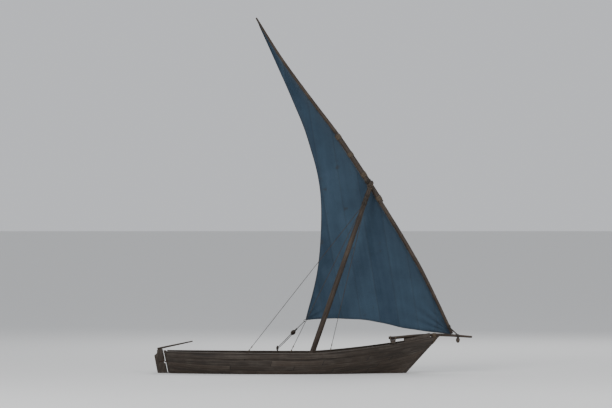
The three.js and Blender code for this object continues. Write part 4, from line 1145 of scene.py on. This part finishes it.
def block_shell(name, centre, along, across, size, body):
    """A wooden block's shell: a flattened egg, with a groove for its strop round the middle."""
    along = unit(along)
    across = unit(across - along * (np.asarray(across, float) @ along))
    third = np.cross(along, across)
    a, b = np.linspace(0.10, math.pi - 0.10, 22)[:, None], math.tau * np.arange(28) / 28
    waist = np.sin(a) ** 0.75 * (1 - 0.10 * np.exp(-(np.abs(np.sin(b)) / 0.16) ** 2))
    points = (centre + along * (size[0] * np.cos(a))[..., None]
              + waist[..., None] * around(b, across * size[1], third * size[2]))
    grain = stacked(size[0] * np.cos(a), size[1] * np.cos(b), size[2] * np.sin(b))
    return belongs(join(name, [bar(points, 0, grain)], smooth=True), SPAR_WOOD, body)


def sagging(a, b, drop):
    """A rope between two points that hangs a little under its own weight."""
    s = np.linspace(0, 1, int(np.linalg.norm(b - a) / 0.007) + 2)[:, None]
    return a + (b - a) * s - UP * drop * 4 * s * (1 - s)


clew = cloth_at(CLEW_SHARE, 1.0)
pin_foot = skin(share_at(SHEET_RAIL_X, sheer_z(SHEET_RAIL_X)), 1.0, 0.004) + UP * (RAIL_THICK + 0.002)
pin_turns = pin_foot + UP * 0.070
block_at = clew + (pin_turns - clew) * 0.44
down = unit(pin_turns - clew)
beside = unit(np.cross(down, Y_WAY))
athwart = np.cross(beside, down)
block_shell("sheet_block", block_at, down, beside, (0.075, 0.050, 0.034), "rig")
strop = block_at + around(ring, 0.079 * down, 0.054 * beside)
cringle_at = clew + down * 0.026
eye = cringle_at + down * 0.034
pendant = [(block_at, -0.082, 0.010), (eye, 0.10, 0.016), (eye, 0.02, 0.022), (eye, -0.022, 0.012)]
pendant += [(place, far, -aside) for place, far, aside in pendant[::-1]]
neck = winding(6, 24)
throat = (block_at - down * (0.088 + 0.0135 * neck / math.tau)[:, None]
          + 0.022 * around(neck, athwart * 1.1, beside * 0.75))
pendant = smooth_path([place + down * far + athwart * aside for place, far, aside in pendant])
rope("sheet_pendant", [pendant, strop], SHEET_R, DARK_ROPE, "rig")
rope("sheet_cringle", [cringle_at + 0.034 * around(ring, down, beside), throat], BOLT_R, DARK_ROPE, "rig")
PIN_UP, PIN_R = np.array([(-0.055, 0.014), (0, 0.014), (0.012, 0.024), (0.03, 0.017), (0.09, 0.016),
                          (0.125, 0.021), (0.140, 0.017), (0.145, 0.008)]).T
s = np.linspace(PIN_UP[0], PIN_UP[-1], 30)
pole("sheet_pin", pin_foot + s[:, None] * UP, np.interp(s, PIN_UP, PIN_R), "hull")
turn = winding(7, 28)
pin_wrap = pin_turns + 0.027 * around(turn, X_WAY, Y_WAY) + UP * 0.034 * np.cos(turn / 14 + 0.1)[:, None]
rope("sheet_turns", [pin_wrap], SHEET_R * 0.9, DARK_ROPE, "hull")
parts = [sagging(block_at + down * 0.06 + beside * side * 0.016,
                 pin_turns + (beside * 0.0256 + UP * 0.012) * side, 0.012) for side in (1, -1)]
rope("sheet_rope", parts, SHEET_R, DARK_ROPE, None, ends=(pin_turns, block_at))
tack_block_at = np.array([4.42, 0.0, 0.925])   # it hangs under the pole, as in the photo
block_shell("tack_block", tack_block_at, (0.1, 0, 1), (1, 0, 0), (0.070, 0.046, 0.032), "hull")
turn = winding(5)
x = np.linspace(4.385, 4.455, len(turn))
radius = np.interp(x, BOWSPRIT_X, BOWSPRIT_R) + LASHING_R + 0.0005
pole_wrap = bowsprit_at(x) + radius[:, None] * around(turn, Y_WAY, UP)
hanger = [bowsprit_at(4.42) + (0, 0.036, 0.01), bowsprit_at(4.42) + (0, 0.040, -0.02),
          tack_block_at + (0, 0.004, 0.075)]
strop = tack_block_at + around(ring, 0.073 * UP, 0.049 * X_WAY)
rope("tack_lashing", [pole_wrap, strop, smooth_path(hanger)], LASHING_R, DARK_ROPE, "hull")
FOOT_T = 0.020                  # share of the yard's length where the tack rope is made fast
rope("yard_foot_wrap", [yard_wrap(FOOT_T - 0.003, FOOT_T + 0.004, 5, 0.0085)], 0.0075, DARK_ROPE, "rig")
foot_at = yard_at(FOOT_T) - Y_WAY * (float(yard_radius(FOOT_T, 1)) + 0.012)
bow_at = bowsprit_at(4.40) + (0, 0.030, 0.034)
parts = [sagging(foot_at + UP * shift, bow_at + X_WAY * shift, 0.003) for shift in (-0.012, 0.004, 0.020)]
rope("tack_rope", parts, LASHING_R, DARK_ROPE, None, pitch=0.05, ends=(bow_at, foot_at))

# Bow and rail lashings
# Coir rope: turns round bowsprit and stem head, a cross lashing at the bowsprit's heel on the mooring beam,
# and the seizings at the stays' feet, each with an iron ring through the rail.


def stem_wrap(x0, x1, turns, gap):
    """Path that winds round the bowsprit and the stem's overhanging nose."""
    path = []
    side, step = KEEL_HALF + gap, (x1 - x0) / turns
    for x in x0 + step * np.arange(turns):
        low = (x - STEM_AT_WATER) / STEM_RAKE - gap
        corners = np.array([(side, STEM_HEAD_Z), (side, low + 0.01), (side - 0.01, low)])
        pole_here = (0, float(bowsprit_at(x)[2]), float(np.interp(x, BOWSPRIT_X, BOWSPRIT_R)) + gap)
        outline = round_things([pole_here], [corners, corners * (-1, 1)])
        path.append(np.column_stack([np.linspace(x, x + step, WRAP_STEPS, endpoint=False), outline]))
    return np.concatenate(path)


rope("stem_lashing", [stem_wrap(3.705, 3.805, 7, LASHING_R + 0.001)], LASHING_R, ROPE, "hull")
HEEL_LOW, HEEL_SIDE, HEEL_HIGH = BEAM_TOP - 0.100, BEAM_TOP + 0.03, BEAM_TOP + 0.096
HEEL_TURN = (                   # fore or aft of the beam, to port or starboard of the pole, height
    (-1, 0, HEEL_HIGH), (-1, 1, HEEL_SIDE), (-1, 1, HEEL_LOW), (1, 1, HEEL_LOW), (1, 1, HEEL_SIDE),
    (1, 0, HEEL_HIGH), (1, -1, HEEL_SIDE), (1, -1, HEEL_LOW), (-1, -1, HEEL_LOW), (-1, -1, HEEL_SIDE))
heel_path = []
for k in range(5):
    out, shift = 0.056 + 0.0145 * (k % 3), 0.004 * k
    heel_path += [(BEAM_X + way * (BEAM_WIDE / 2 + 0.010 + shift * (z > HEEL_LOW)), y * out, z)
                  for way, y, z in HEEL_TURN]
rope("heel_lashing", [smooth_path(heel_path)], LASHING_R, ROPE, "hull")
seizings, rings = [], []
for foot, head in STAYS:
    way = unit(head - foot)
    across = unit(np.cross(way, Y_WAY))
    for start, turns in ((0.05, 9), (0.19, 7)):
        turn = winding(turns, 24)
        seizings.append(foot + way * (start + 0.0082 * turn / math.tau)[:, None]
                        + (STAY_R + 0.0035) * around(turn, across, np.cross(way, across)))
    rings.append(foot + UP * 0.006 + 0.020 * around(ring, UP, Y_WAY))
rope("stay_seizings", seizings, SEIZING_R, ROPE, "hull")
belongs(tubes("ring_bolts", rings, 0.006, 10), IRON, "hull")

# Rudder bearding
# Strips of the same dark hardwood as the blade, nailed to its fore edge between the irons. They are bevelled
# on both sides, to let the blade turn close to the stern post.
BEARDING = np.array([(-0.016, -0.0195), (-0.003, -0.016), (0.005, -0.010), (0.008, 0), (0.005, 0.010),
                     (-0.003, 0.016), (-0.016, 0.0195), (-0.017, 0)])   # along the boat, across it
upright = np.array(mathutils.Matrix.Rotation(STERN_TURN[0], 3, "Y")).T
BEARDING_ENDS = np.array([(-0.452, -0.334), (-0.242, 0.288), (0.378, 0.696)])
strips = [rudder_point(*BEARDING.T, ends[:, None]) for ends in BEARDING_ENDS]
strips = join("rudder_bearding", [bar(strip, 0.35, strip @ upright) for strip in strips])
belongs(strips, HULL_TIMBER, "rudder")

# Rudder irons
# Forged iron straps and pins, rusty all over. The gudgeons' straps are let over the stern post, and the
# pintles' straps over the blade, each held by four rivets that show on both sides.
RIVET_HALF = 0.028              # half the strap's breadth
fore, side = np.tile(np.linspace(-0.150, -0.045, 4), 2), np.repeat([-1.0, 1.0], 4)
for word, height in (("lower", -0.263), ("upper", 0.357)):
    timber(f"gudgeon_{word}_iron", f"gudgeon_{word}", LEVEL, 0.002, look=IRON)
    timber(f"pintle_{word}_iron", f"pintle_{word}", LEVEL, 0.002, look=IRON, body="rudder")
    rivets = rudder_point(fore, side * RIVET_HALF, height)
    nail_heads(f"pintle_{word}_rivets", rivets, side[:, None] * Y_WAY, "rudder")

# Thwart nails
# The same forged and rusted nails as in the planks: eight in each thwart, four at each end, driven down
# through it into the riser that it rests on.
for name in THWARTS:
    low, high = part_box(name)
    middle, width = (low[0] + high[0]) / 2, high[0] - low[0]
    places = [(middle + share * width, side * (high[1] - inset), high[2])
              for side in (-1, 1) for share in (-0.3, 0.3) for inset in (0.07, 0.13)]
    nail_heads(f"{name}_nails", np.array(places), np.tile(UP, (len(places), 1)))
